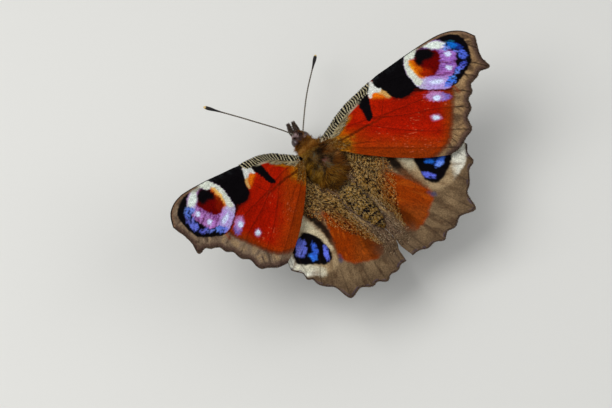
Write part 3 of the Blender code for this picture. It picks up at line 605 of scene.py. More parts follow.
# %% forewing ground
DARK_LINES = [([(1.6, 0.2), (3.3, 1.05), (4.5, 1.75), (6.2, 2.6), (8.4, 3.6), (11, 5.3)], 0.3, 0.75),
              ([(3, -0.3), (4.5, -0.1), (8, 0.3), (12, 0.6)], 0.14, 0.5)]

def fore_ground(x, y, px, py, lead, grain, rows, veins, seed, side):
    """Red field, rust rear, golden root with specks, pale flecks and dark veins: each colour over the last,
    its cover a product of smooth steps along and across the wing."""
    c = plain(np.shape(x), BRICK)
    c = over(c, (158, 24, 0), ramp(9.5, 7.2, px) * ramp(3.4, 4.8, py) * 0.8)
    c = over(c, (126, 40, 2), ramp(8.5, 4.5, px) * ramp(0.4, -0.4, py - 0.42 * px + 0.2) * ramp(-0.4, 0.5, py) * 0.5)
    c = over(c, (136, 14, 0), ramp(9.0, 13.0, px) * ramp(2.0, 4.0, py) * 0.6)
    rise = 1.5 * ramp(13.0, 7.0, px) if side < 0 else 0.0
    c = over(c, RUST, ramp(2.4, -0.8, py - rise + 0.5 * grain) * 0.85)
    c = over(c, (112, 44, 4), ramp(0.0, -1.8, py) * 0.6)
    c = over(c, (118, 52, 4), ramp(18.0, 20.5, px) * ramp(-1, 1, py + 1) * 0.6)
    c = over(c, (150, 52, 0), ramp(6.5, 3.6, px + 0.4 * grain) * ramp(2.2, 0.6, py - 0.24 * px) * 0.7)
    c = over(c, (176, 78, 2), ramp(3.9, 2.5, px + 0.4 * grain) * ramp(2.6, 1.4, py) * 0.85)
    gold = ramp(0.85, 0.35, np.abs(lead - 1.75 + 0.2 * grain)) * ramp(5.0, 3.4, py) * ramp(4.6, 3.4, px)
    c = over(c, GOLD, gold * 0.95)
    speck = ramp(5.0, 3.0, px + 0.6 * grain) * ramp(1.3, 0.5, py - 0.12 * px)
    c = over(c, (126, 82, 14), speck * 0.85)
    c = over(c, (184, 118, 22), speck * ramp(0.1, 0.6, noise(x * 3.2, y * 5.0, seed + 18)) * 0.8)
    c = over(c, (52, 40, 16), speck * ramp(0.25, 0.7, noise(x * 3.6, y * 6.0, seed + 19)) * 0.8)
    c = over(c, (132, 96, 44), ramp(1.9, 0.6, px + 0.5 * grain) * 0.8)
    flecks = ramp(0.6, 0.85, noise(x * 2.1, y * 8.0, seed + 7)) * ramp(0.0, 0.4, noise(x * 0.5, y * 0.5, seed + 17))
    c = over(c, (196, 96, 60), flecks * ramp(7, 9, px) * 0.6)
    c = c * (1 + 0.13 * rows + 0.1 * noise(x * 0.7, y * 3.0, seed + 4))[..., None]
    c = over(c, (52, 12, 4), ramp(0.16, 0.03, veins) * 0.4)
    for line, wide, dark in DARK_LINES:
        c = over(c, (74, 20, 2), ramp(wide, wide * 0.3, near(px, py, line)[0]) * dark * ramp(12, 6, px))
    return c

print(len(DARK_LINES), "dark lines run out from the root")

# %% [markdown]
# ## The forewing's bar, patch, margin and front edge
# A black bar and a black patch stand on the front edge, with white, cream and orange between them. The outer
# margin is tan, with brown streaks across. They are laid on in the order in which they overlap, which is
# simpler than cutting them to fit each other.

# %% forewing marks
PATCH_END = {-1: (7.1, 10.0, 0.7, 0.55, 40), 1: (7.2, 10.5, 0.65, 0.45, 40)}

def fore_marks(c, x, y, px, py, lead, grain, side):
    """Black bar and patch, and the light bands between them: each cover is the soft edge of its outline's
    signed distance. The left wing's bands are a little smaller."""
    less = 0.16 if side < 0 else 0.0
    c = over(c, ORANGE, soft(blob(px, py, GLOW_MARK) - less, 0.4) * ramp(6.7, 7.5, py) * ramp(10.4, 9.0, px) * 0.95)
    c = over(c, YELLOW, soft(blob(px, py, CREAM_MARK) - less, 0.2) * 0.95)
    white = soft(blob(px, py, WHITE_MARK), 0.14)
    c = over(c, (206, 208, 200), white * (1 if side > 0 else ramp(9.7, 9.2, y)))
    patch = np.maximum(blob(px, py, PATCH), oval(x, y, *PATCH_END[side]))
    c = over(c, (70, 8, 2), ramp(-0.55, 0.0, patch) * ramp(10.4, 11.2, px) * 0.75)
    c = over(c, BLACK, np.maximum(soft(patch), soft(blob(px, py, BAR))))
    c = over(c, (30, 32, 34), soft(patch) * ramp(1.2, 0.3, lead) * ramp(-0.3, 0.6, grain) * 0.8)
    return over(c, (60, 6, 0), ramp(0.24, 0.1, near(px, py, [(14.5, 8.45), (18.4, 8.4), (20.8, 8.6)])[0]) * 0.9)

def fore_margin(c, px, py, edge, veins, seed, side):
    """Outer margin: a tan band outside the red field and a brown edge, streaked across by noise that is fine
    along the edge and coarse across it."""
    edge_gap, edge_run = edge
    field = blob(px, py, FIELD)
    streak = noise(edge_run * 4.6, edge_gap * 0.6, seed + 14)
    band = soft(-field, 0.3)
    c = over(c, (122, 102, 82) if side < 0 else TAN, band)
    c = over(c, UMBER, band * ramp(-0.1, 0.75, streak) * 0.75)
    c = over(c, (158, 130, 92), band * ramp(0.15, 0.8, -streak) * ramp(0.6, 1.1, edge_gap) * 0.55)
    c = over(c, BROWN, band * ramp(1.15, 0.5, edge_gap + 0.2 * streak) * 0.9)
    c = over(c, (50, 36, 36), band * ramp(0.5, 0.2, edge_gap + 0.15 * streak) * 0.7)
    c = over(c, (26, 18, 16), band * ramp(0.15, 0.05, veins) * (0.3 if side < 0 else 0.7))
    return over(c, (90, 34, 8), ramp(0.6, 0.1, np.abs(field)) * ramp(8.8, 8.2, py) * 0.7)

def fore_lead(c, x, lead, run, grain, side):
    """Front edge: fine black and cream bars where the bars' wave is high, and a pale line of long hairs
    inside them."""
    striped = ramp(ZEBRA_END + 0.3, ZEBRA_END - 0.1, x + 0.2 * grain)
    striped = striped * ramp(ZEBRA_WIDE + 0.2, ZEBRA_WIDE, lead + 0.1 * grain)
    c = over(c, (158, 150, 124), ramp(5.6, 4.4, x) * ramp(0.3, 0.1, np.abs(lead - ZEBRA_WIDE - 0.22)) * 0.85)
    c = over(c, BLACK, striped)
    return over(c, CREAM, striped * ramp(0.45, 0.75, zebra(run, lead, side)) * 0.8)

print("the bar has", len(BAR), "points and the patch", len(PATCH))

# %% [markdown]
# ## The forewing's eye
# The eye at the tip is black, with a lilac ground, a white and golden crescent, a dark red core and a row
# of blue marks, made of ovals and outlines laid over each other. The blue is paint here; real blue scales
# are built in fine layers that give it without a dye.

# %% forewing eye
def eyespot_paint(c, px, py, x, y, seed, side):
    """Forewing's eye: lilac ground, black ring with blue scales, white and golden crescent, dark red core. The
    left wing faces the light: its lilac is pinker, its blue paler and its gold less strong."""
    left = side < 0
    rows, fine = noise(x * 0.9, y * 7.0, seed + 3), noise(x * 4.5, y * 8.0, seed + 15)
    rx = px + 0.16 * rows
    area, lit = blob(px, py, EYESPOT), blob(rx, py, LIT)
    inside = soft(area, 0.1)
    c = over(c, BLACK, inside)
    ground = inside * soft(lit, 0.16)
    c = over(c, (162, 108, 170) if left else LILAC, ground)
    c = over(c, PINK_LILAC, ground * ramp(12.2, 11.0, py) * 0.8)
    c = over(c, PALE_LILAC, ground * ramp(10.9, 10.0, py) * 0.9)
    c = over(c, (176, 176, 192), ground * ramp(17.2, 15.3, px) * ramp(11.0, 10.2, py) * 0.9)
    c = over(c, (92, 36, 100), ground * ramp(0.1, 0.6, rows) * ramp(10.2, 11.2, py) * 0.85)
    for line in ([(18.4, 12.75), (21.4, 12.95)], [(16.4, 10.7), (20.1, 10.85)]):
        c = over(c, (66, 12, 40), ground * ramp(0.2, 0.06, near(px, py, line)[0]) * ramp(-0.6, 0.1, fine) * 0.85)
    c = over(c, (128, 60, 96), ground * ramp(0.35, 0.8, fine) * ramp(17.2, 18.2, px) * ramp(10.2, 11.2, py) * 0.5)
    c = over(c, (182, 128, 204), ground * ramp(0.15, 0.8, -rows) * 0.5)
    glow = soft(blob(px, py, GLOW), 0.3) * inside
    core = blob(rx, py, CORE)
    c = over(c, (196, 88, 2), glow)
    golden = glow * ramp(14.9, 13.9, px + 0.55 * (py - 11.6) - 0.4 * left)
    c = over(c, (218, 178, 96) if left else (226, 158, 30), golden)
    c = over(c, CHALK, soft(blob(px, py, CRESCENT), 0.2) * inside)
    c = over(c, (118, 112, 96), inside * soft(oval(px, py, 15.6, 15.5, 1.0, 0.35, 30), 0.2) * 0.7)
    red = soft(core, 0.18)
    c = over(c, DARK_RED, red)
    c = over(c, (152, 34, 0), red * soft(oval(px, py, 16.2, 11.2, 1.1, 0.7, 0), 0.4) * (0.3 if left else 0.85))
    c = over(c, (190, 84, 0), red * soft(oval(px, py, 15.1, 11.9, 0.75, 0.4, -50), 0.3) * (0.2 if left else 0.9))
    pupil = np.maximum(oval(rx, py, 16.0, 14.1, 1.75, 0.95, 0), oval(rx, py, 15.4, 13.2, 0.75, 0.9, 0))
    c = over(c, BLACK, soft(pupil, 0.3) * soft(core + 0.15, 0.1))
    c = over(c, (206, 216, 206), soft(oval(rx, py, 17.9, 15.5, 1.75, 0.64, -2), 0.2) * inside)
    c = over(c, (196, 176, 214), soft(oval(rx, py, 19.3, 14.95, 0.7, 0.35, 0), 0.2) * 0.8)
    for mx, my, wide, high, tilt, colour in BLUE_MARKS:
        mark = soft(oval(rx, py, mx, my, wide, high, tilt) + 0.08 * fine, 0.14) * inside
        c = over(c, colour, mark)
        c = over(c, (112, 114, 192), mark * 0.5 * left)
        c = over(c, (16, 16, 40), mark * ramp(0.1, 0.55, noise(x * 3.4, y * 6.4, seed + 16)) * 0.9)
    for spot in ICE_SPOTS:
        c = over(c, ICE, soft(oval(rx, py, *spot), 0.16))
    return c

def small_marks(c, px, py, x, y, seed):
    """Two small lilac marks with white middles in the margin below the eye: ovals laid over each other."""
    rx, fine = px + 0.16 * noise(x * 0.9, y * 7.0, seed + 3), noise(x * 4.5, y * 8.0, seed + 15)
    c = over(c, (168, 108, 156), soft(oval(rx, py, 17.9, 7.45, 1.6, 0.76, 0) + 0.16 * fine, 0.2))
    c = over(c, (104, 92, 172), soft(oval(rx, py, 19.3, 7.35, 0.9, 0.56, 0) + 0.16 * fine, 0.25) * 0.95)
    c = over(c, (176, 132, 190), soft(oval(rx, py, 18.2, 7.35, 1.2, 0.6, 0), 0.3) * 0.8)
    c = over(c, (204, 218, 244), soft(oval(px, py, 18.1, 7.15, 0.6, 0.42, 0), 0.16))
    c = over(c, (166, 112, 150), soft(oval(rx, py, 18.0, 4.1, 0.8, 0.52, 0), 0.2) * 0.85)
    return over(c, (198, 214, 232), soft(oval(px, py, 18.0, 4.1, 0.52, 0.36, 0), 0.16))

def fore_paint(x, y, edge, veins, seed, side):
    """Upper side of the forewing: each mark over the last, on places that noise and the rows of scales shake,
    most along x."""
    grain, rows = layered(x * 2.2, y * 2.2, seed), noise(x * 0.9, y * 7.0, seed + 3)
    inner = (0.5 if side < 0 else 0.05) * ramp(10, 6, x)
    if side < 0:
        inner = inner + 0.35 * ramp(16.0, 17.5, x) * ramp(9.2, 8.4, y)
    px = x + 0.09 * noise(x * 3.3, y * 3.3, seed + 1) + 0.1 * rows + inner
    py = y + 0.09 * noise(x * 3.3, y * 3.3, seed + 2)
    lead, run = costa_lead(side, x, y)
    c = fore_ground(x, y, px, py, lead, grain, rows, veins, seed, side)
    c = fore_marks(c, x, y, px, py, lead, grain, side)
    c = fore_margin(c, px, py, edge, veins, seed, side)
    c = fore_lead(c, x, lead, run, grain, side)
    c = small_marks(eyespot_paint(c, px, py, x, y, seed, side), px, py, x, y, seed)
    c = over(c, (112, 86, 66), ramp(0.55, 0.3, lead + 0.1 * grain) * ramp(14.0, 15.2, x))
    return over(c, (18, 13, 13), ramp(0.2, 0.07, lead) * ramp(6.7, 7.5, x))

print("the eye's outline has", len(EYESPOT), "points")

# %% [markdown]
# ## The hindwing's markings
# The hindwing is brown grey, with a rust field, a dark hairy base, and a blue eye in a pale ring, painted as
# the forewing is. Its streaks fan out from the root, as its veins do, so their noise is read by the angle
# about the root and the distance from it.

# %% outlines of the hindwing
HIND_EYE = [(14.2, -2.8), (12, -3), (11.35, -3.8), (11.45, -5.2), (11.8, -6.6), (12.2, -7.9), (12.9, -8.7),
    (13.9, -9.1), (15, -8.8), (15.9, -7.8), (16.8, -6.6), (17.4, -5.4), (17.2, -4.4), (16, -3.2)]
PALE_RING = [(8.5, -1), (8.9, -2.6), (9.2, -4), (10, -5.7), (11, -7.5), (11.9, -8.9), (12.9, -10), (14.6, -10.4),
    (16.4, -9.7), (18, -8.3), (19.3, -7), (19.8, -5.4), (19.4, -3), (17, -1), (14, 0), (11, 0)]
WEDGE = [(6.8, -0.6), (6.9, -2), (7.2, -3), (8, -4.6), (9.2, -6.3), (10.6, -7.8), (11.8, -9.2), (11.6, -8.3),
    (10.3, -6.4), (9.4, -4.8), (8.8, -3.4), (8.5, -2.2), (8.6, -0.6)]
RUST_FIELD = [(5.2, -3.6), (6.4, -4.2), (8, -5.3), (9.6, -6.9), (11.2, -8.5), (12.4, -9.6), (12.6, -10.6),
    (12.3, -11.9), (11.3, -13.3), (10.2, -14.7), (8.6, -15.4), (7, -14.8), (6, -13.2), (5.2, -10.5), (4.7, -7)]
HIND_BLUES = {1: [(15, -5.1, 1.5, 0.4, -6, (10, 34, 78)), (13.6, -5.15, 0.8, 0.36, -22, (30, 96, 196)), (15.3,
    -5.75, 1.15, 0.42, 32, (60, 104, 206)), (15, -6.25, 0.65, 0.34, 14, (102, 138, 224)), (13, -7.5, 1.15, 0.4, -36,
    (88, 100, 208))], -1: [(13.6, -4.6, 1.9, 0.85, -28, (84, 94, 182)), (14.3, -4.5, 1.1, 0.5, -20,
    (108, 114, 200)), (12.9, -6.3, 1.1, 0.3, -42, (56, 92, 196)), (14.6, -7, 0.85, 0.5, -50, (44, 104, 206)), (13.7,
    -6.6, 1.2, 0.2, -30, (40, 80, 180)), (12.9, -8.25, 1.3, 0.36, -38, (92, 106, 212))]}
LEFT_STRIPES = [([(9.9, -4.4), (10.6, -6.2), (11.8, -8.2)], 0.8, 0.4), ([(8.1, -4.4), (9.2, -6.3), (10.8, -8.5)],
    0.62, 0.3), ([(17.2, -6.5), (16.9, -8.2), (16.6, -9.4)], 1.3, 0.5)]
print("blue marks of the hind eye:", len(HIND_BLUES[-1]), "left,", len(HIND_BLUES[1]), "right")

# %% [markdown]
# ## Painting the hindwing
# The ring and the rust field come first, then the dark wedge that parts them, the eye, and the speckled
# base. The left wing shows three stripes beside its eye more clearly, so it has them of its own.

# %% hindwing paint
def hind_field(c, px, py, mx, my, streak, fine, grain, field, side):
    """Pale ring, rust field and the dark wedge between them, streaked out from the root: each cover is the
    soft edge of a signed distance, times smooth steps."""
    ring = blob(px, py, PALE_RING)
    c = over(c, (148, 126, 94), soft(ring, 0.4))
    c = over(c, (174, 164, 136), soft(ring, 0.3) * ramp(12.3, 10.6, px) * ramp(-6.4, -4.0, py))
    c = over(c, (210, 208, 192), soft(ring, 0.3) * ramp(16.2, 17.8, px))
    c = over(c, (112, 88, 62), soft(ring, 0.4) * ramp(0.0, 0.8, streak) * ramp(11, 13, px) * 0.7)
    c = over(c, (128, 46, 2), ramp(-0.4, 0.35, field + 0.15 * streak))
    c = over(c, (118, 60, 18), ramp(-0.2, 0.6, field) * ramp(-9.5, -12.5, py + 0.35 * (px - 8)) * 0.6)
    c = over(c, (170, 78, 14), ramp(-0.2, 0.6, field) * ramp(0.1, 0.8, streak) * 0.45)
    c = over(c, (92, 34, 6), ramp(-0.2, 0.6, field) * ramp(0.1, 0.8, -fine) * 0.45)
    wedge = blob(px, py, WEDGE)
    c = over(c, (112, 84, 58), ramp(-0.95, -0.1, wedge + 0.15 * streak) * soft(ring, 0.4) * 0.8)
    c = over(c, (14, 9, 6), soft(wedge, 0.3) * ramp(-6.6, -4.0, py + 0.3 * grain) * 0.95)
    c = over(c, (86, 44, 18), soft(wedge, 0.3) * ramp(-4.0, -6.2, py) * 0.8)
    if side < 0:
        pale, dark, outer = (ramp(wide, full, near(mx, my, line)[0]) for line, wide, full in LEFT_STRIPES)
        c = over(c, (184, 170, 138), pale * 0.75)
        c = over(c, (20, 13, 9), dark * ramp(-9.2, -6.5, my) * 0.9)
        c = over(c, (192, 186, 162), outer * ramp(0.8, 0.0, streak) * 0.75)
    return c

def hind_eye(c, px, py, mx, my, fine, side):
    """Black eye with blue marks: ovals, shaken by fine noise and kept inside the eye."""
    eye = blob(px, py, HIND_EYE)
    c = over(c, BLACK, soft(eye, 0.2))
    for bx, by, wide, high, tilt, colour in HIND_BLUES[side]:
        mark = soft(oval(mx, my, bx, by, wide, high, tilt) + 0.1 * fine, 0.16) * soft(eye, 0.2)
        c = over(c, colour, mark * ramp(-0.7, 0.15, fine + 0.3))
    return c

def hind_base(c, x, y, px, py, mx, my, grain, field, inner_gap, seed):
    """Hairy base, grey-brown speckled with cream and black, and the grey band along the inner edge: noise
    above a level makes the specks."""
    base = ramp(7.4, 5.9, np.hypot(px * 0.98, py * 0.62) + 0.5 * grain)
    c = over(c, (92, 70, 42), base * 0.92)
    c = over(c, SOOT, base * ramp(0.1, 0.6, noise(x * 6.6, y * 4.0, seed + 5)) * 0.85)
    c = over(c, (176, 148, 96), base * ramp(0.4, 0.75, noise(x * 7.6, y * 4.6, seed + 6)) * 0.75)
    c = over(c, (98, 66, 34), ramp(7.4, 4.8, px) * ramp(-0.2, 0.4, field) * 0.65)
    c = over(c, (62, 60, 84), soft(oval(mx, my, 12.8, -10.8, 0.55, 0.35, -30), 0.25) * 0.8)
    c = over(c, (62, 60, 84), soft(oval(mx, my, 12.2, -10.2, 0.3, 0.25, 0), 0.2) * 0.6)
    c = over(c, (98, 80, 60), ramp(-12.0, -15.0, py + 0.4 * (px - 6)) * ramp(9.5, 7.5, px) * 0.8)
    c = over(c, (112, 90, 72), ramp(1.9, 1.3, inner_gap + 0.2 * grain) * ramp(-15.5, -13.5, y) * 0.85)
    streaks = ramp(0.1, 0.6, noise(inner_gap * 4.5, y * 1.6, seed + 40))
    c = over(c, (66, 52, 42), ramp(1.9, 1.4, inner_gap) * streaks * 0.7)
    line = ramp(0.28, 0.1, np.abs(inner_gap - 1.9 + 0.2 * grain))
    return over(c, (186, 150, 92), line * ramp(-11.5, -9.5, y) * 0.7)

def hind_paint(x, y, edge, veins, inner_gap, seed, side):
    """Upper side of the hindwing, each mark over the last; streaks follow the angle about the root, as the
    veins do. The left wing's marks lie up to a millimetre further in."""
    edge_gap, edge_run = edge
    grain = layered(x * 2.0, y * 2.0, seed)
    angle, reach = np.arctan2(-y - 1.0, x + 1.0), np.hypot(x + 1.0, y + 1.0)
    streak, fine = noise(angle * 34, reach * 0.5, seed + 30), noise(angle * 90, reach * 1.6, seed + 31)
    mx = x + 0.11 * noise(x * 3.1, y * 3.1, seed + 1)
    my = y + 0.11 * noise(x * 3.1, y * 3.1, seed + 2)
    px, py = mx, my
    if side < 0:
        px = mx + ramp(-10.5, -4.0, my)
        py = my + 0.5 * ramp(9.0, 13.0, mx) - 0.6 * ramp(10.0, 6.0, mx)
    c = plain(np.shape(x), (106, 86, 62))
    c = over(c, (74, 55, 38), ramp(0.0, 0.8, streak + 0.3 * fine) * 0.75)
    c = over(c, (126, 104, 76), ramp(0.1, 0.8, -streak + 0.3 * fine) * 0.6)
    c = over(c, (64, 48, 36), ramp(2.4, 0.5, edge_gap + 0.4 * grain) * 0.5)
    field = blob(px, py, RUST_FIELD)
    c = hind_field(c, px, py, mx, my, streak, fine, grain, field, side)
    c = hind_eye(c, px, py, mx, my, fine, side)
    c = hind_base(c, x, y, px, py, mx, my, grain, field, inner_gap, seed)
    c = over(c, SOOT, ramp(0.16, 0.04, veins) * 0.45 * ramp(5.0, 2.0, edge_gap))
    rim = ramp(0.55, 0.3, edge_gap) * ramp(-0.3, 0.4, noise(edge_run * 1.6, edge_gap * 2, seed + 9))
    return over(c, (66, 56, 72), rim * 0.7)

print("the rust field has", len(RUST_FIELD), "points, the pale ring", len(PALE_RING))

# %% [markdown]
# ## Building the wings
# A real wing is two membranes, far thinner than paper, held by hollow veins. A single sheet would do for the
# eye, but each wing here is one closed shell: the painted upper side, a nearly black underside and a rim. It
# is about a sixth of a millimetre thick, stands up along the veins and sinks between them.

# %% thickness, underside and faces of a wing
PLEAT_DEEP, PLEAT_WIDE = 0.08, 0.55
HALF_THICK, RIM_THICK, VEIN_HIGH, VEIN_WIDE = 0.07, 0.015, 0.045, 0.11
RIM_POINTS, INNER_POINTS = 160, 60

def pleat(veins, u):
    """How far the sheet sinks between the veins: depth times 1 - exp(-(gap / width)^2), fading in from the
    root."""
    return -PLEAT_DEEP * (1 - np.exp(-(veins / PLEAT_WIDE) ** 2)) * ramp(0, 0.2, u)

def half_thickness(edge_gap, veins):
    """Half the sheet's thickness: thin at the rim, full a little further in, plus a ridge on each vein, which
    is a bell curve exp(-(gap / width)^2)."""
    return (HALF_THICK * ramp(0, 0.6, edge_gap) + RIM_THICK
            + VEIN_HIGH * np.exp(-(veins / VEIN_WIDE) ** 2) * ramp(0.0, 0.5, edge_gap))

def under_paint(x, y, edge_gap, seed):
    """Underside: dark, with wavy lines along the outer edge, the sine of the distance to it plus noise, and a
    few lighter specks."""
    wave = np.sin(5.5 * edge_gap + 2.2 * noise(x * 0.6, y * 0.6, seed + 20) + 0.8 * noise(x * 3, y * 3, seed + 21))
    c = over(plain(np.shape(x), (40, 32, 26)), (18, 14, 12), ramp(-0.2, 0.7, wave) * 0.8)
    return over(c, (74, 62, 50), ramp(0.55, 0.9, noise(x * 5, y * 5, seed + 22)) * 0.4)

def shell_faces(nu, nv):
    """Faces of an upper sheet, a lower one turned over, and the rim that joins them all the way round."""
    grid = sheet_faces(nu, nv)
    number = np.arange(nu * nv).reshape(nu, nv)
    loop = np.concatenate([number[:, 0], number[-1, 1:], number[-2::-1, -1], number[0, -2:0:-1]])
    after = np.roll(loop, -1)
    below = nu * nv
    return np.concatenate([grid, grid[:, ::-1] + below, np.stack([loop, after, after + below, loop + below], 1)])

print("thickness on the flat and on a vein, mm:", (2 * half_thickness(5.0, np.array([9.0, 0.0]))).round(3))

# %% [markdown]
# ## The four wings
# The points are closer together near the outer edge, where the teeth and the finest marks are. A dark line
# of scales closes the rim, and a last uneven shade goes over all.

# %% four wings
def wing_piece(w, side, nu, nv, name, seed):
    """Shell P +- n (half thickness), with P the middle surface plus its pleat, and n its unit normal, the cross
    product of the two slopes."""
    u, v = np.meshgrid(np.linspace(0, 1, nu) ** 0.8, np.linspace(0, 1, nv), indexing="ij")
    flat = wing_plane(w, side, u, v)
    x, y = flat[..., 0], flat[..., 1]
    edge = near(x, y, wing_plane(w, side, np.ones(RIM_POINTS), np.linspace(0, 1, RIM_POINTS)))
    edge_gap, veins = edge[0], vein_gap(w, side, x, y)
    middle = wing_surface(w, side, u, v)
    normal = unit(side * np.cross(np.gradient(middle, axis=1), np.gradient(middle, axis=0)))
    sink, half = pleat(veins, u), half_thickness(edge_gap, veins)
    top, bottom = middle + normal * (sink + half)[..., None], middle + normal * (sink - half)[..., None]
    if w is FORE:
        paint = fore_paint(x, y, edge, veins, seed, side)
    else:
        inner = wing_plane(w, side, np.linspace(0, 1, INNER_POINTS), np.ones(INNER_POINTS))
        paint = hind_paint(x, y, edge, veins, near(x, y, inner)[0], seed, side)
    rim_line = ramp(0.2, 0.06, edge_gap + 0.06 * noise(x * 3, y * 3, seed + 8))
    paint = over(paint, VIOLET, rim_line * (0.35 + 0.6 * ramp(0.7, 0.2, veins)))
    paint = paint * (1 + 0.16 * noise(x * 6.5, y * 6.5, seed + 11) + 0.08 * layered(x, y, seed + 12))[..., None]
    under = under_paint(x, y, edge_gap, seed)
    faces = shell_faces(nu, nv)
    return piece(name, np.concatenate([top.reshape(-1, 3), bottom.reshape(-1, 3)]),
                 faces if side > 0 else faces[:, ::-1], WING_SCALES,
                 np.concatenate([paint.reshape(-1, 3), under.reshape(-1, 3)]),
                 flat=np.concatenate([flat.reshape(-1, 2)] * 2))

for side, label in SIDES:
    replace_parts(wing_piece(FORE, side, 205, 185, "fore_scales_" + label, 40 + side),
                "forewing_" + label)
    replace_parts(wing_piece(HIND, side, 175, 160, "hind_scales_" + label, 70 + side),
                "hindwing_" + label)
print("wings painted")

# %% [markdown]
# ## The body under its fur
# Head, thorax and abdomen are one skin: ellipses along a line from the tail to the face, with a waist and
# a neck. It could be three bodies, as the solids are, but real skin runs through and the joins would show
# between the hairs. It lies a little inside the solids, which leaves room for the fur. The abdomen's rings
# are small steps, where each ring's rear edge laps over the next.

# %% body skin
BODY = [(-14.22, 0.88, -1.44, 0.05, 0.05), (-13.6, 0.8, -1.36, 0.68, 0.66), (-12.4, 0.66, -1.23, 1.2, 1.13),
    (-10.8, 0.48, -1.05, 1.65, 1.5), (-9, 0.3, -0.85, 1.93, 1.73), (-7.2, 0.15, -0.65, 2, 1.8),
    (-5.6, 0.06, -0.5, 1.85, 1.7), (-4.6, 0.02, -0.4, 1.5, 1.4), (-3.95, 0, -0.36, 1.15, 1.1),
    (-3.3, 0, -0.25, 1.5, 1.45), (-2.2, 0, -0.1, 2.08, 1.98), (-0.8, 0, 0, 2.32, 2.2), (0.8, 0, 0, 2.32, 2.2),
    (2.2, 0, 0, 2, 1.95), (3.3, 0.05, -0.05, 1.45, 1.45), (4, 0.1, -0.1, 1, 1), (4.5, 0.14, -0.1, 0.78, 0.78),
    (5, 0.19, -0.07, 0.98, 0.95), (5.5, 0.23, -0.03, 1.12, 1.06), (6.1, 0.3, 0, 1.16, 1.08),
    (6.6, 0.36, 0, 1.03, 0.97), (7.05, 0.42, 0, 0.77, 0.72), (7.35, 0.45, 0, 0.42, 0.4),
    (7.45, 0.47, 0, 0.05, 0.05)]
RINGS_END = -4.6
RING_LENGTH, RING_STEP = 1.37, 0.09
NUDGE = 0.002

def body_ring(t):
    """The ring's numbers (y, middle x and z, half width and height) at a share t of the way to the face."""
    return through(BODY, t)

def ring_part(y):
    """How far along its own abdomen ring a place lies, from 0 to 1: the remainder of the way from the waist
    over the length of a ring."""
    return ((RINGS_END - y) / RING_LENGTH) % 1.0

def body_skin(t, a):
    """P = middle + (w sin a, 0, h cos a), a turning from the back over the right side; steps on the abdomen."""
    y, cx, cz, w, h = np.moveaxis(body_ring(t), -1, 0)
    part = ring_part(y)
    step = RING_STEP * (part**2 - 0.4) * ramp(RINGS_END, RINGS_END - 0.8, y) * ramp(0.2, 0.9, w)
    return np.stack([cx + (w + step) * np.sin(a), y, cz + (h + step) * np.cos(a)], -1)

def slopes(surface, a, b):
    """How far a surface's point moves over a small step of each of its two parameters."""
    return surface(a + NUDGE, b) - surface(a - NUDGE, b), surface(a, b + NUDGE) - surface(a, b - NUDGE)

def outward(surface, a, b):
    """Unit normal of a surface: the cross product of its two slopes."""
    da, db = slopes(surface, a, b)
    return unit(np.cross(db, da))

def closed_tube(rings):
    """Points and triangles of rings (rows, sides, 3): two triangles for each quad, and a fan at each end about
    the middle of the end ring."""
    rows, sides = rings.shape[:2]
    quads = sheet_faces(rows, sides, closed=True)
    tris = np.concatenate([quads[:, [0, 1, 2]], quads[:, [0, 2, 3]]])
    j = np.arange(sides)
    k = (j + 1) % sides
    first, last = rows * sides, rows * sides + 1
    caps = np.concatenate([np.stack([k, j, np.full(sides, first)], 1),
                           np.stack([j, k, np.full(sides, last)], 1) + [[(rows - 1) * sides] * 2 + [0]]])
    points = np.concatenate([rings.reshape(-1, 3), rings[0].mean(0)[None], rings[-1].mean(0)[None]])
    return points, np.concatenate([tris, caps])

def body_paint(p, a):
    """Skin colours from the tail to the face, each over the last by smooth steps along y: banded abdomen, dark
    thorax, mauve brown head."""
    y = p[..., 1]
    spots = layered(p[..., 0] * 2.5 + 40, y * 2.5 + 40, 90)
    part = ring_part(y)
    c = plain(np.shape(y), (74, 58, 42))
    tail = ramp(RINGS_END + 1.0, RINGS_END, y)
    c = over(c, (30, 26, 28), tail * 0.75)
    c = over(c, (112, 84, 36), tail * ramp(0.68, 0.9, part) * ramp(0.0, 0.6, np.cos(a) + 0.5))
    c = over(c, (96, 84, 82), tail * ramp(0.1, -0.4, np.cos(a)))
    c = over(c, (52, 44, 46), ramp(-3.6, -2.4, y) * ramp(4.2, 3.0, y) * 0.7)
    c = over(c, (92, 72, 70), ramp(4.4, 5.2, y) * 0.9)
    return c * (1 + 0.25 * spots)[..., None]

SKIN_ROWS, SKIN_SIDES = 300, 96
t, a = np.meshgrid(np.linspace(0, 1, SKIN_ROWS), np.linspace(0, 2 * np.pi, SKIN_SIDES, endpoint=False),
                   indexing="ij")
rings = body_skin(t, a)
points, faces = closed_tube(rings)
colours = body_paint(rings, a).reshape(-1, 3)
colours = np.concatenate([colours, colours[[0, -1]]])
body = piece("body_skin", points, faces, SKIN, colours)
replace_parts(body, "head", "thorax", "abdomen")
print("skin", len(points), "points")

# %% [markdown]
# ## Hair and long scales
# Every hair is a thin solid spike: two rings of three points and a tip, bent a little by its droop. Hair
# curves would be lighter, but they are no solid and can't be exported; one spike has ten faces, so many
# thousand fit. Each carries its own colours from root to tip, and for baking it has a tiny patch of its own
# at its root's place on the skin's flat map.

# %% hair maker
SPIKE = np.array([[0, 1, 4], [0, 4, 3], [1, 2, 5], [1, 5, 4], [2, 0, 3], [2, 3, 5], [3, 4, 6], [4, 5, 6],
                  [5, 3, 6], [0, 2, 1]])
PATCH_SIZE = 0.003
SECOND_RING, THINNING, FLATNESS, HAIR_SINK = 0.55, 0.4, 0.45, 0.06
NEARLY_UP, TURN_CHANCE = [0.05, 0.02, 1.0], 0.25

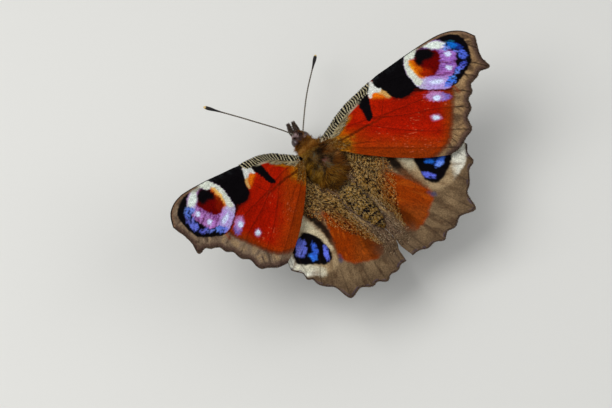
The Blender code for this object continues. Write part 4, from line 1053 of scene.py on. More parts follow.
def hairs(name, roots, lean, length, width, root_paint, tip_paint, where, droop=None, seed=0):
    """Spikes P(s) = root + lean (length s) + droop s^2, with s from 0 to 1, radius width (1 - thinning s) and a
    flattened section, whose long axis is square to the lean. The roots are sunk a little into the skin."""
    n = len(roots)
    rng = np.random.default_rng(seed)
    length = np.broadcast_to(length, n)[:, None, None]
    lean = unit(lean)
    side = unit(np.cross(lean, unit(rng.normal(size=(n, 3)) * TURN_CHANCE + NEARLY_UP)))
    rise = np.cross(side, lean)
    s = np.array([0.0, SECOND_RING])
    grown = np.concatenate([s, [1.0]])
    path = roots[:, None] - lean[:, None] * HAIR_SINK + lean[:, None] * length * grown[None, :, None]
    if droop is not None:
        path = path + droop[:, None] * (grown**2)[None, :, None]
    corner = 2 * np.pi * np.arange(3) / 3
    ring = (side[:, None, None] * np.cos(corner)[None, None, :, None]
            + FLATNESS * rise[:, None, None] * np.sin(corner)[None, None, :, None])
    ring = path[:, :2, None] + ring * width * (1 - THINNING * s)[None, :, None, None]
    points = np.concatenate([ring.reshape(n, 6, 3), path[:, 2:]], 1)
    share = np.concatenate([np.repeat(s, 3), [1.0]])[None, :, None]
    paint = root_paint[:, None] * (1 - share) + tip_paint[:, None] * share
    local = np.stack([np.concatenate([np.tile([0, 0.5, 1], 2), [0.5]]), share[0, :, 0]], -1) * PATCH_SIZE
    bake = where[:, None] * (1 - PATCH_SIZE) + local[None]
    faces = (SPIKE[None] + 7 * np.arange(n)[:, None, None]).reshape(-1, 3)
    return piece(name, points.reshape(-1, 3), faces, HAIR, paint.reshape(-1, 3), bake=bake.reshape(-1, 2))

print("a hair has", len(SPIKE), "faces")

# %% [markdown]
# ## Where the hairs stand, and their colours
# Places drawn evenly in the surface's own numbers would crowd where it is narrow, so more are drawn than are
# needed and kept by how large the surface is there. Colours come either hair by hair, which gives a speckle,
# or by locks that share one, which gives fur its depth.

# %% places and colours of hairs
SPARE_TRIES, FULL_SIZE = 8, 0.98

def spread(surface, count, t_range, a_range, rng, dense=None):
    """Random places (t, a) on a surface, as many for each square millimetre as anywhere else. A place is kept
    if a number by chance is below the size of the surface there, which is the length of the cross product of
    its slopes, times a wish of how dense, over nearly the greatest size."""
    tries = count * SPARE_TRIES
    t, a = rng.uniform(*t_range, tries), rng.uniform(*a_range, tries)
    size = np.linalg.norm(np.cross(*slopes(surface, t, a)), axis=-1)
    if dense is not None:
        size = size * dense(t, a, surface(t, a))
    keep = rng.uniform(0, 1, tries) < size / np.quantile(size, FULL_SIZE)
    return t[keep][:count], a[keep][:count]

def pick(rng, count, *choices):
    """A colour for each hair by chance, made a little darker or lighter: choices are (colour, share), and a
    share over the sum of all is how often it comes."""
    shares = np.array([s for _, s in choices], float)
    which = rng.choice(len(choices), count, p=shares / shares.sum())
    table = np.stack([linear(c) for c, _ in choices])
    return table[which] * rng.uniform(0.75, 1.25, (count, 1))

def locks(p, rng, *choices):
    """A colour for each hair that its neighbours share: the choice follows the rank of smooth noise, with a
    little chance; choices are (colour, share), from one end of the noise to the other."""
    wave = noise(p[:, 0] * 2.3 + 60, p[:, 1] * 1.9 + 60, 77) + rng.normal(0, 0.2, len(p))
    rank = np.argsort(np.argsort(wave)) / len(p)
    bounds = np.cumsum([share for _, share in choices])
    table = np.stack([linear(colour) for colour, _ in choices])
    which = np.searchsorted(bounds / bounds[-1], rank, side="right").clip(0, len(table) - 1)
    return table[which] * rng.uniform(0.8, 1.2, (len(p), 1))

def tone(p, depth):
    """Brightness shared by neighbouring hairs: 1 plus noise times its depth."""
    return (1 + depth * noise(p[:, 0] * 3.2 + 30, p[:, 1] * 3.2 + 30, 5))[:, None]

def mixed(rng, share, one, other):
    """Each hair takes the one colour by chance, as often as share says, or else the other."""
    return np.where((rng.uniform(0, 1, len(one)) < share)[:, None], one, other)

print("for one hair that is kept,", SPARE_TRIES, "places are tried")

# %% [markdown]
# ## The coat of the thorax, head and abdomen
# The thorax is shaggy: long soft hairs that lie backwards, rust gold in front and at the sides and dark in
# the middle. At its sides and rear they are longest and lie out over the wing bases and the waist. Hairs
# near each other share one lean and one tone, which smooth noise gives them, so that they clump. The
# abdomen's hair is short and close. On the head it is shorter still.

# %% body coats
def share_at(y):
    """The share t of the body's line at a given y, read back from a fine table of the line."""
    fine = np.linspace(0, 1, 2000)
    return np.interp(y, body_ring(fine)[:, 0], fine)

def body_coat(name, count, y_range, length, width, lift, paint, seed, dense=None, side_lean=0.3, back=-1.0,
              out=0.0, turns=(0, 2 * np.pi), clump=0.35, droop_by=0.25):
    """Hairs leaning back along the skin: lean = back (tangent) + lift (normal) + sideways parts, the last from
    chance, from clumping noise, and from out, which spreads both sides away from the middle."""
    rng = np.random.default_rng(seed)
    t, a = spread(body_skin, count, tuple(share_at(np.array(y_range))), turns, rng, dense)
    p, n = body_skin(t, a), outward(body_skin, t, a)
    along = unit(body_skin(t + 0.003, a) - body_skin(t - 0.003, a))
    around = np.cross(along, n)
    m = len(t)
    swirl = noise(p[:, 0] * 2.2 + 9, p[:, 1] * 1.6 + 9, seed) * clump
    sideways = rng.normal(0, side_lean, m) + swirl + out * np.sin(a)
    rise = lift * (rng.uniform(0.5, 1.5, m) + 0.5 * noise(p[:, 0] * 3 + 20, p[:, 1] * 3 + 20, seed + 1))
    lean = back * along + n * rise[:, None] + around * sideways[:, None]
    lengths = np.broadcast_to(length(p, a) if callable(length) else length, m) * rng.uniform(0.6, 1.25, m)
    bend = -n * rng.uniform(0.0, droop_by, m)[:, None] + around * (rng.normal(0, 0.14, m) + 0.2 * swirl)[:, None]
    root, tip = paint(p, a, rng)
    return hairs(name, p, lean, lengths, width, root, tip, np.stack([a / (2 * np.pi), t], -1),
                 bend * lengths[:, None], seed=seed)

print("the waist lies at a share of", share_at(RINGS_END).round(3), "of the body's line")

# %% [markdown]
# ## Colours of the body's coats
# The fur is golden in front on the left, where the light falls, rust on the right and behind, and dark in the
# middle. Painting the skin alone would leave it flat, so each coat's function gives every hair the colour of
# its root and of its tip; the root is darker, a painted shade deep in the fur.

# %% thorax and head colours
def thorax_colours(p, a, rng):
    """Golden in front on the left, rust in front on the right and behind, dark grey brown in the middle, by
    chances that are smooth steps of the place; a mauve fleck in an oval at the middle."""
    m, x, y = len(p), p[:, 0], p[:, 1]
    gold = locks(p, rng, ((52, 40, 18), 2), ((112, 76, 20), 3), ((166, 114, 28), 4), ((192, 146, 62), 2))
    rust = locks(p, rng, ((60, 38, 22), 2.4), ((112, 64, 22), 4), ((150, 90, 34), 3.4), ((172, 122, 66), 1.2))
    dark = locks(p, rng, ((34, 26, 20), 2.4), ((86, 62, 36), 3.4), ((132, 100, 60), 3.0), ((118, 120, 96), 1.2))
    red = pick(rng, m, ((150, 82, 74), 2), ((186, 132, 120), 1))
    warm = mixed(rng, ramp(0.6, -0.6, x - 0.3 * (y - 1)), gold, rust)
    middle = ramp(2.0, 1.2, np.hypot((x - 0.1) * 1.2, (y - 0.4) * 0.68) + 0.6 * noise(x * 2, y * 2, 3))
    tip = mixed(rng, middle * 0.93 * (np.cos(a) > 0), dark, warm)
    fleck = (np.hypot(x - 0.15, y - 0.45) < 0.42) & (np.cos(a) > 0)
    tip = mixed(rng, fleck * 0.6, red, tip) * tone(p, 0.35)
    # the darker root is painted shade deep in the fur
    return tip * 0.4, tip

def rear_colours(p, a, rng):
    """Long golden hairs with black streaks between them, where a sine wave across the body is high."""
    m = len(p)
    stripe = np.sin(p[:, 0] * 5.0 + 1.6 * noise(p[:, 1], p[:, 0], 8)) > 0.25
    gold = locks(p, rng, ((110, 70, 20), 3), ((162, 104, 26), 4), ((194, 146, 64), 2))
    tip = mixed(rng, stripe * 0.85, pick(rng, m, ((26, 20, 16), 3), ((60, 44, 26), 2)), gold)
    # the darker root is painted shade deep in the fur
    return tip * 0.55, tip

def collar_colours(p, a, rng):
    """Rust gold locks, from dark to light along the noise, times their shared tone."""
    tip = locks(p, rng, ((78, 46, 24), 2.4), ((122, 72, 22), 4), ((148, 92, 30), 4), ((178, 128, 62), 1.6))
    tip = tip * tone(p, 0.25)
    # the darker root is painted shade deep in the fur
    return tip * 0.5, tip

def head_colours(p, a, rng):
    """Mauve brown with pale flecks; rust on its right and behind, as the collar is."""
    m = len(p)
    mauve = locks(p, rng, ((40, 28, 28), 3), ((84, 58, 52), 3.4), ((122, 90, 80), 3), ((196, 170, 170), 1.8))
    rust = pick(rng, m, ((134, 80, 26), 4), ((108, 64, 24), 3), ((166, 116, 56), 1))
    rusty = np.maximum(ramp(0.5, 1.3, p[:, 0]), ramp(5.6, 5.0, p[:, 1])) * (np.cos(a) > -0.2)
    tip = mixed(rng, rusty * 0.85, rust, mauve)
    # the darker root is painted shade deep in the fur
    return tip * 0.55, tip

print("the head's and thorax's colours are set")

# %% [markdown]
# ## Colours of the abdomen's coat
# The abdomen has short scales: a speckle of gold and black on top, grey flanks, and on the last rings a
# golden crescent at each rear edge. The rings are the skin's own, so that colour and shape agree.

# %% abdomen colours
def abdomen_colours(p, a, rng):
    """Gold, cream and black in a speckle, grey flanks, black and gold crescents near the tip: noise below a
    level is black, and the part of the ring gives the crescents."""
    m, y = len(p), p[:, 1]
    part, late = ring_part(y), ramp(-9.0, -11.0, y)
    top = pick(rng, m, ((192, 146, 62), 4), ((222, 188, 124), 2), ((124, 96, 60), 3), ((132, 116, 98), 1.6))
    dots = noise(a * 11, y * 5.8 + 80, 88) + rng.normal(0, 0.22, m)
    top = np.where((dots < -0.12)[:, None], pick(rng, m, ((16, 14, 14), 4), ((60, 50, 38), 1)), top)
    gold = pick(rng, m, ((190, 144, 56), 3), ((156, 116, 50), 3), ((222, 186, 118), 1.4))
    base = pick(rng, m, ((30, 30, 30), 4), ((92, 88, 74), 2), ((158, 140, 96), 2))
    flank = pick(rng, m, ((122, 102, 92), 4), ((98, 82, 76), 3), ((150, 132, 122), 1))
    tip = mixed(rng, ramp(-6.0, -4.8, y) * 0.8, base, top)
    tip = mixed(rng, ramp(0.5, 0.8, part) * (0.05 + 0.5 * late), gold, tip)
    tip = mixed(rng, ramp(0.34, 0.12, part) * 0.6 * late, pick(rng, m, ((26, 22, 24), 1)), tip)
    tip = np.where((np.cos(a) < 0.42 + rng.normal(0, 0.12, m) - 0.2 * ramp(-8, -5, y))[:, None], flank, tip)
    # the darker root is painted shade deep in the fur
    return tip * 0.75, tip

print("the abdomen has", round((RINGS_END + 14.22) / RING_LENGTH), "rings")

# %% [markdown]
# ## Growing the body's coats
# Each coat covers a stretch of the body with hairs of one kind: the first lie close, those of the shoulders
# and sides stand out over the wing bases. Several coats look shaggier than one with long hairs everywhere.

# %% grow the body coats
body_coat("thorax_fur", 12000, (-3.4, 4.0), lambda p, a: 1.25 + 0.5 * ramp(1.0, -2.5, p[:, 1]), 0.034,
          0.42, thorax_colours, 11, dense=lambda t, a, p: 0.3 + (np.cos(a) > -0.3), out=0.25, clump=0.7)
body_coat("shoulder_fur", 5200, (-2.4, 3.4), 1.75, 0.036, 0.5, thorax_colours, 15, out=0.6,
          dense=lambda t, a, p: (np.cos(a) > 0.05) & (np.abs(np.sin(a)) > 0.5), back=-0.85, clump=1.2)
body_coat("side_fur", 4200, (-2.8, 3.9), lambda p, a: 1.3 + 0.8 * ramp(0, 0.6, p[:, 0]), 0.036, 0.7,
          thorax_colours, 17, dense=lambda t, a, p: (np.abs(np.sin(a)) > 0.55) & (np.cos(a) > 0.2), out=0.75,
          back=-0.35, clump=0.8, side_lean=0.25, droop_by=0.1)
body_coat("front_fur", 2600, (2.4, 4.3), 1.35, 0.034, 0.75, collar_colours, 18,
          dense=lambda t, a, p: (np.sin(a) > 0.3) & (np.cos(a) > -0.1), out=0.75, back=0.35, clump=0.6, droop_by=0.1)
body_coat("rear_fur", 4600, (-3.6, -0.9), lambda p, a: 2.2 + 0.9 * ramp(0.3, -0.6, p[:, 0]), 0.036, 0.36,
          rear_colours, 16, out=0.35, dense=lambda t, a, p: np.cos(a) > 0.1, clump=1.2)
body_coat("collar_fur", 7500, (2.2, 5.3), 1.05, 0.032, 0.9, collar_colours, 12, back=0.35, clump=0.6,
          dense=lambda t, a, p: 0.25 + (p[:, 1] > 2.8))
body_coat("abdomen_hair", 12500, (-14.1, -3.4), lambda p, a: 0.32 + 0.4 * ramp(-5, -3.8, p[:, 1]),
          0.072, 0.45, abdomen_colours, 13, dense=lambda t, a, p: 0.25 + (np.cos(a) > -0.1), side_lean=0.4)
body_coat("head_hair", 6000, (4.6, 7.43),
          lambda p, a: 0.42 + 0.35 * ramp(0.4, 1.2, p[:, 0] + 0.5 * (5.2 - p[:, 1])), 0.026, 0.7, head_colours, 14,
          back=0.35)
print("body coats grown")

# %% [markdown]
# ## Hair on the wings
# The wing bases carry long raised scales, gold, cream and black in a fine speckle, thickest beside the
# abdomen. The leading edge has tufts in black and cream bars, and the outer edge a short fringe. They
# grow from the upper face and lie outwards along the veins. They could be paint only, but seen from the
# side a butterfly's wing base is fur.

# %% wing coats
WING_DROOP = 0.25

def wing_coat(name, w, side, count, length, width, lift, paint, seed, dense, u_range=(0.02, 0.97), v_range=(0, 1),
              swing=0.0, jitter=0.3, outwards=1.0, stray=0.3, square=False):
    """Hairs on a wing's upper face: lean = outward tangent + swing (tangent to the rear) + lift (normal). With
    square set, the tangent to the rear is first made perpendicular to the outward one."""
    rng = np.random.default_rng(seed)
    surface = lambda u, v: wing_surface(w, side, np.clip(u, 0, 1), np.clip(v, 0, 1))
    flat = lambda u, v: np.moveaxis(wing_plane(w, side, u, v), -1, 0)
    u, v = spread(surface, count, u_range, v_range, rng, lambda u, v, p: dense(*flat(u, v)))
    p, step = surface(u, v), 0.004
    out = unit(surface(u + step, v) - surface(u - step, v))
    rear = unit(surface(u, v + step) - surface(u, v - step))
    n = unit(side * np.cross(rear, out))
    if square:
        rear = unit(rear - (rear * out).sum(-1, keepdims=True) * out)
    m = len(u)
    x, y = flat(u, v)
    p = p + n * (pleat(vein_gap(w, side, x, y), u) + HALF_THICK)[:, None]
    lean = (out * outwards + n * (lift * rng.uniform(0.5, 1.5, m))[:, None]
            + rear * (swing + rng.normal(0, jitter, m) + stray * noise(x * 1.5, y * 1.5, seed))[:, None])
    lengths = (length(x, y) if callable(length) else np.full(m, length)) * rng.uniform(0.7, 1.25, m)
    root, tip = paint(x, y, rng)
    return hairs(name, p, lean, lengths, width, root, tip,
                 np.stack([u, v], -1), -n * (WING_DROOP * lengths * lift)[:, None], seed=seed)

print("hairs of the wings start", HALF_THICK, "mm above the middle of the sheet")

# %% [markdown]
# ## Where each coat of the wings grows
# The speckled base, the crest beside the abdomen, the fold of the inner edge and the forewing's root are
# outlines on the flat wing, as the marks are; hairs are kept by the distance to them.

# %% outlines of the wing coats
HAIRY_BASE = [(-1.5, 3.5), (6.5, 3), (8.2, 0.6), (7.4, -1.6), (6.9, -3.2), (7.2, -4.6), (7.5, -6), (7.3, -8),
    (6.9, -10), (6.3, -11.8), (5.2, -12.2), (4.5, -10), (4.1, -7.5), (3.2, -6.2), (2, -5.5), (0, -4), (-1.5, -1.5)]
CREST = [(3.8, -5.8), (4.3, -7.4), (4.7, -9), (5.3, -11), (6.1, -12.8)]
FOLD = [(0.5, -4.4), (3, -5.6), (4.1, -7.4), (4.6, -9.6), (5.6, -12), (7.4, -14.5), (7, -17), (5, -17), (3, -13.5),
    (1, -8)]
ROOT_HAIR = [(-1.5, 0.6), (-0.6, 1.2), (0.6, 0.9), (2, 0.6), (3.6, 0.5), (4.4, -0.2), (4.6, -1.6), (0, -1.2),
    (-1.5, -1)]
print("the crest runs over", np.linalg.norm(np.subtract(CREST[-1], CREST[0])).round(1), "mm")

# %% [markdown]
# ## Colours of the wing coats
# The base is a speckle of gold, cream and black. In the other coats each colour comes as often as its share
# says, so they are one helper and a row of colours for each.

# %% colours of the wing coats
def speckle(x, y, rng):
    """Gold, cream, black and brown: noise below a level is black. The chance of an orange hair is a smooth
    step towards the rust field."""
    m = len(x)
    dots = noise(x * 6.4, y * 4.8, 87) + rng.normal(0, 0.22, m)
    tip = pick(rng, m, ((192, 144, 66), 3.4), ((228, 196, 134), 1.6), ((128, 84, 32), 3))
    tip = np.where((dots < -0.02)[:, None], pick(rng, m, ((14, 10, 9), 4), ((52, 36, 20), 1)), tip)
    warm = pick(rng, m, ((184, 106, 26), 3), ((128, 62, 12), 3), ((220, 176, 106), 1.4))
    warm = np.where((dots < -0.2)[:, None], pick(rng, m, ((34, 20, 12), 4), ((70, 36, 10), 1)), warm)
    tip = mixed(rng, ramp(4.6, 7.0, np.hypot(x, (y + 1.5) * 0.62)) * 0.85, warm, tip)
    # the darker root is painted shade deep in the coat
    return tip * 0.75, tip

def mix(shade, *choices):
    """Paint of a coat: each tip's colour by chance from (colour, share), the root's the same times shade, a painted
    shade deep in the coat.
    """
    def paint(x, y, rng):
        """Tips drawn from the choices, and roots of the tip's colour times the shade."""
        tip = pick(rng, len(x), *choices)
        return tip * shade, tip
    return paint

def bar_colours(side):
    """Paint of the leading edge's tufts: cream where the bars' wave is above its light level, black below."""
    def paint(x, y, rng):
        """One colour for root and tip, light or dark by the wave at the hair's place."""
        lead, run = costa_lead(side, x, y)
        m = len(x)
        light = zebra(run, lead, side) > ZEBRA_LIGHT
        tip = np.where(light[:, None], pick(rng, m, ((226, 216, 176), 3), ((160, 150, 108), 2)),
                       pick(rng, m, ((8, 7, 8), 6), ((34, 28, 24), 1)))
        return tip, tip
    return paint

CREST_MIX = mix(0.6, ((224, 190, 128), 3), ((190, 142, 72), 3), ((110, 70, 34), 1.5))
FOLD_MIX = mix(0.8, ((152, 122, 92), 4), ((110, 86, 64), 3), ((212, 186, 148), 2), ((52, 42, 36), 2.2))
LINE_MIX = mix(0.8, ((214, 200, 158), 4), ((150, 136, 106), 3), ((30, 24, 18), 3), ((180, 140, 60), 1.5))
ROOT_MIX = mix(0.6, ((150, 104, 34), 4), ((196, 168, 108), 1.4), ((30, 22, 14), 4), ((130, 66, 12), 4))
EDGE_MIX = mix(0.8, ((74, 56, 44), 4), ((112, 92, 72), 3), ((38, 28, 28), 2))
print("a golden hair of the crest:", CREST_MIX([0], [0], np.random.default_rng(0))[1].round(2))

# %% [markdown]
# ## Growing the wing coats
# Each coat says how many hairs, how long and thick, how far they lift, and where they may stand. The tufts of
# the bars lie along the edge, and the fringe stands at the very rim.

# %% grow the wing coats
for side, label in SIDES:
    wing_coat("hind_speckle_" + label, HIND, side, 15000, 0.24, 0.07, 0.5, speckle, 21 + side,
              lambda x, y: ramp(-0.5, 0.6, blob(x, y, HAIRY_BASE)), u_range=(0.02, 0.75), swing=0.3, jitter=0.5)
    wing_coat("hind_crest_" + label, HIND, side, 1300, 0.5, 0.05, 0.5, CREST_MIX, 24 + side,
              lambda x, y: ramp(0.55, 0.1, near(x, y, CREST)[0]), u_range=(0.1, 0.75), swing=0.3)
    wing_coat("hind_fold_" + label, HIND, side, 3600, 0.42, 0.052, 0.3, FOLD_MIX, 27 + side,
              lambda x, y: ramp(-0.2, 0.5, blob(x, y, FOLD)), u_range=(0.1, 0.9))
    wing_coat("fore_root_hair_" + label, FORE, side, 1100, 0.5, 0.034, 0.18, ROOT_MIX, 31 + side,
              lambda x, y: ramp(0.0, 1.0, blob(x, y, ROOT_HAIR)) * ramp(4.2, 1.2, x), u_range=(0.02, 0.3),
              jitter=0.12)
    wing_coat("fore_lines_" + label, FORE, side, 620, 1.1, 0.036, 0.12, LINE_MIX, 34 + side,
              lambda x, y: (x < 2.6) * (np.abs(costa_lead(side, x, y)[0] - 1.4) < 0.34), u_range=(0.02, 0.3),
              v_range=(0, 0.6), jitter=0.05)
    wing_coat("fore_bars_" + label, FORE, side, 4600, 0.26, 0.045, 0.3, bar_colours(side), 41 + side,
              lambda x, y: (x < ZEBRA_END) * (costa_lead(side, x, y)[0] < ZEBRA_WIDE), u_range=(0.03, 0.5),
              v_range=(0, 0.4), swing=-1.0, outwards=0.0, jitter=0.05, stray=0.05, square=True)
    for w, tag in ((FORE, "fore"), (HIND, "hind")):
        wing_coat(tag + "_fringe_" + label, w, side, 2000, 0.24, 0.045, 0.08, EDGE_MIX, 51 + side,
                  lambda x, y: np.ones_like(x), u_range=(0.992, 1.0))
print("wing coats grown")

# %% [markdown]
# ## Tubes: legs, antennae, palps and tongue
# All of these are a circle carried along a path, with its own radius at each place. A curve with a bevel
# would give the same, but not the rings, joints and swellings. The circle stands square to the path: one axis
# is a fixed direction made square to the path, the other their cross product.

# %% tube maker
def tube(path, radius, sides=12, ref=(0.0, 0.0, 1.0)):
    """Rings P(s, a) = path(s) + r(s) (cos a N + sin a B), N square to the path and nearest to ref."""
    way = unit(np.gradient(path, axis=0))
    n = unit(np.asarray(ref) - (way @ np.asarray(ref))[:, None] * way)
    b = np.cross(way, n)
    a = 2 * np.pi * np.arange(sides) / sides
    r = np.asarray(radius)[:, None, None]
    return path[:, None] + r * (np.cos(a)[None, :, None] * n[:, None] + np.sin(a)[None, :, None] * b[:, None])

def tubes(name, material, parts):
    """One piece of several closed tubes, each given as rings and a colour for each ring."""
    points, faces, colours, start = [], [], [], 0
    for rings, paint in parts:
        p, f = closed_tube(rings)
        c = np.repeat(paint, rings.shape[1], axis=0)
        points.append(p)
        faces.append(f + start)
        colours.append(np.concatenate([c, paint[:1], paint[-1:]]))
        start += len(p)
    return piece(name, np.concatenate(points), np.concatenate(faces), material, np.concatenate(colours))

def smooth_path(points, count):
    """As many points as count says, evenly along the curve through the given ones."""
    return through(points, np.linspace(0, 1, count))

def run_of(path):
    """How far along the path each of its points lies: the sum of the lengths of the chords before it."""
    return np.concatenate([[0], np.cumsum(np.linalg.norm(np.diff(path, axis=0), axis=1))])

def joint_waist(part, depth):
    """Radius of a row of joints, as a share: one less the depth where a joint meets the next, with part running
    from 0 to 1 over each joint."""
    return 1 - depth * ramp(0.12, 0.0, np.minimum(part, 1 - part))

print("an arc of three points is", run_of(smooth_path([(0, 0), (1, 1), (2, 0)], 50))[-1].round(2), "long")

# %% [markdown]
# ## Antennae
# An antenna is a thread of about forty short joints, dark with a fine pale ring at each, and thickens
# over its last two and a half millimetres into a black club with a cream tip. The rings are paint and a
# slight waist on one tube; forty separate joints would look no different at this size.

# %% antennae
HORN = plain_paint("antenna_skin", 0.5, 0.3, 0.15, 9000.0)
ANTENNA = {-1: [(0.3, 6.3, 0.45), (0.05, 6.8, 0.6), (-4.3, 12.9, 2.7), (-7.9, 17.7, 3.95)],
           1: [(0.75, 5.95, 0.45), (1.0, 6.2, 0.6), (6.45, 11.5, 0.75), (10.95, 15.1, 0.2)]}
CLUB_REACH, JOINT = 1.85, 0.36
CLUB_SHAPE = [(0, 0.05), (0.12, 0.19), (0.35, 0.27), (0.8, 0.31), (1.3, 0.28), (1.9, 0.2), (2.8, 0.13),
    (3.4, 0.115), (40, 0.115)]

for side, label in SIDES:
    knots = np.array(ANTENNA[side])
    end = knots[-1] + unit(knots[-1] - knots[-2]) * CLUB_REACH
    path = smooth_path(np.concatenate([knots, end[None]]), 420)
    run = run_of(path)
    to_tip, joint = run[-1] - run, (run / JOINT) % 1.0
    radius = np.interp(to_tip, *np.array(CLUB_SHAPE).T) * joint_waist(joint, 0.1)
    c = plain([len(path)], (52, 42, 34))
    c = over(c, (196, 188, 166), ramp(0.22, 0.14, joint) * ramp(2.6, 3.4, to_tip) * 0.85)
    c = over(c, (16, 12, 12), ramp(3.0, 2.0, to_tip))
    c = over(c, (206, 178, 118), ramp(0.5, 0.25, to_tip))
    obj = tubes("antenna_" + label + "_ringed", HORN, [(tube(path, radius, 14), c)])
    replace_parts(obj, "antenna_" + label, "club_" + label)
    print("antenna", label, run[-1].round(1), "mm long")

# %% [markdown]
# ## Eyes
# The eyes are dark brown, faceted, and sit half sunk in the sides of the head. Thousands of facets are too
# fine for geometry here, so a pattern of cells tilts the shading of a plain egg shape under a thin clear coat.

# %% eyes
def eye_material():
    """Dark brown shell with a fine net of facets: the distance to the nearest cell's middle is the bump."""
    mat, tree, shader = nodes_of("eye_facets", 0.32, 0.5, 0.3)
    shader.inputs["Coat Roughness"].default_value = 0.25
    where = tree.nodes.new("ShaderNodeTexCoord")
    cells = cell_pattern(tree, where.outputs["Object"], 16000.0, 0.3)
    tree.links.new(painted(tree), shader.inputs["Base Color"])
    bumped(tree, shader, cells.outputs["Distance"], 0.00002, 0.6)
    return mat

EYE_RADII = np.array([0.66, 0.86, 0.88])
EYE_SHELL = eye_material()
v, a = np.meshgrid(np.linspace(0.01, 0.99, 40) * np.pi, np.linspace(0, 2 * np.pi, 64, endpoint=False),
                   indexing="ij")
for side, label in SIDES:
    ball = np.stack([-np.cos(v), np.sin(v) * np.sin(a), np.sin(v) * np.cos(a)], -1)
    middle = EYE_MIDDLE * [side, 1, 1] + [HEAD_TURN_X, 0, 0]
    rings = middle + ball * EYE_RADII
    points, faces = closed_tube(rings)
    c = plain([len(points)], (44, 26, 26))
    blotch = noise(points[:, 1] * 3 + 50, points[:, 2] * 3 + 50, 61)
    c = over(c, (82, 52, 58), ramp(0.1, 0.6, blotch) * 0.5)
    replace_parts(piece("eye_shell_" + label, points, faces[:, ::-1], EYE_SHELL, c), "eye_" + label)
print("an eye is", 2 * EYE_RADII, "mm")

# %% [markdown]
# ## Palps
# Two hairy palps stand out in front of the face, side by side. Each is a short bent tube with a joint, and
# its hairs stand out all round it, so they are placed by the tube's own share and angle.

# %% palps
PALP = {-1: [(0.1, 6.5, -0.4), (0.12, 8.0, -0.12), (0.42, 9.15, 0.42)],
        1: [(0.85, 6.5, -0.4), (1.08, 7.9, -0.12), (1.26, 8.9, 0.42)]}
PALP_SHAPE = [0, 0.1, 0.45, 0.75, 0.78, 0.95, 1], [0.05, 0.24, 0.32, 0.26, 0.2, 0.14, 0.03]
PALP_POINTS, PALP_HAIRS = 60, 2400
for side, label in SIDES:
    path = smooth_path(PALP[side], PALP_POINTS)
    share = np.linspace(0, 1, PALP_POINTS)
    radius = np.interp(share, *PALP_SHAPE)
    c = plain([PALP_POINTS], (52, 38, 38))
    obj = tubes("palp_" + label + "_core", HORN, [(tube(path, radius, 12), c)])
    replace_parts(obj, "palp_" + label)
    rng, m = np.random.default_rng(80 + side), PALP_HAIRS
    s, a = rng.uniform(0.12, 1.0, m), rng.uniform(0, 2 * np.pi, m)
    at = through(PALP[side], s)
    way = unit(through(PALP[side], np.minimum(s + 0.01, 1)) - through(PALP[side], s - 0.01))
    n = unit(np.array([0.0, 0.0, 1.0]) - way[:, 2:] * way)
    round_way = n * np.cos(a)[:, None] + np.cross(way, n) * np.sin(a)[:, None]
    root = at + round_way * (np.interp(s, share, radius) * 0.9)[:, None]
    tip = pick(rng, m, ((76, 62, 48), 4), ((112, 94, 84), 2), ((38, 30, 26), 4), ((156, 140, 136), 1))
    # the roots, at six tenths of the tip's colour, are painted shade deep in the hair
    hairs("palp_" + label + "_hair", root, way + round_way * rng.uniform(0.2, 0.85, (m, 1)),
          rng.uniform(0.3, 0.58, m), 0.026, tip * 0.6, tip, np.stack([a / (2 * np.pi), s], -1), seed=81)
print(2 * PALP_HAIRS, "hairs on the palps")

# %% [markdown]
# ## Tongue
# The tongue is coiled below the face like a watch spring: a spiral whose radius falls evenly with each turn,
# with fine rings along it. A short straight piece joins it to the mouth.

# %% tongue
COIL_MIDDLE = np.array([0.38, 6.95, -2.75])
COIL_OUTER, COIL_INNER, COIL_TURNS = 1.15, 0.3, 2.2
RIDGE_STEP, RIDGE_HIGH = 0.16, 0.06
turns = np.linspace(0, COIL_TURNS, 260)
sweep = math.pi / 2 - turns * 2 * math.pi
reach = COIL_OUTER + (COIL_INNER - COIL_OUTER) * turns / COIL_TURNS
coil = COIL_MIDDLE + np.stack([0 * turns, -reach * np.cos(sweep), reach * np.sin(sweep)], -1)
start = np.array([[0.42, 6.9, -0.6], [0.4, 6.85, -1.1]])
coil = np.concatenate([smooth_path(np.concatenate([start, coil[:1]]), 16)[:-1], coil])
share = np.linspace(0, 1, len(coil))
ridge = 1 + RIDGE_HIGH * np.sin(run_of(coil) * 2 * np.pi / RIDGE_STEP)
c = plain([len(coil)], (88, 56, 30))
tongue = tubes("tongue", HORN, [(tube(coil, (0.17 - 0.09 * share) * ridge, 12, (1.0, 0, 0)), c)])
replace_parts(tongue, "proboscis")
print("the tongue is", run_of(coil)[-1].round(1), "mm long")

# %% [markdown]
# ## Legs
# It walks on four legs; the front pair is small, hairy and folded against the breast. Thigh and shin are
# slim tubes that thicken in the middle, and the foot is a row of five joints. They are waists of one tube,
# which keeps it one closed solid, and its points are never let below the floor.

# %% legs
FLOOR = -5.9
SOLE = FLOOR + 0.13
LEGS = {"mid": [(1.2, 1.5, -1.6), (5.1, 3.3, -1.9), (7.2, 4.3, -4.7), (7.7, 4.8, SOLE), (9.3, 6.2, SOLE)],
        "hind": [(1.2, -1.7, -1.5), (4.3, -5.0, -1.9), (6.0, -8.8, -4.7), (6.3, -9.9, SOLE), (6.8, -12.2, SOLE)]}
FORE_LEG = [(0.8, 2.8, -1.3), (1.0, 3.0, -1.7), (1.35, 4.1, -2.5), (1.05, 5.0, -2.7)]
LEG_BROWN, LEG_PALE, LEG_DARK = (92, 68, 48), (142, 118, 88), (46, 34, 30)
LIMB_POINTS, FOOT_POINTS, CLAW_POINTS, FORE_POINTS = 50, 150, 14, 60
FOOT_JOINTS, FOOT_RADIUS = 5.0, 0.125
CLAW_LONG, CLAW_WIDE, CLAW_THICK, CLAW_CLEAR = 0.34, 0.16, 0.045, 0.012

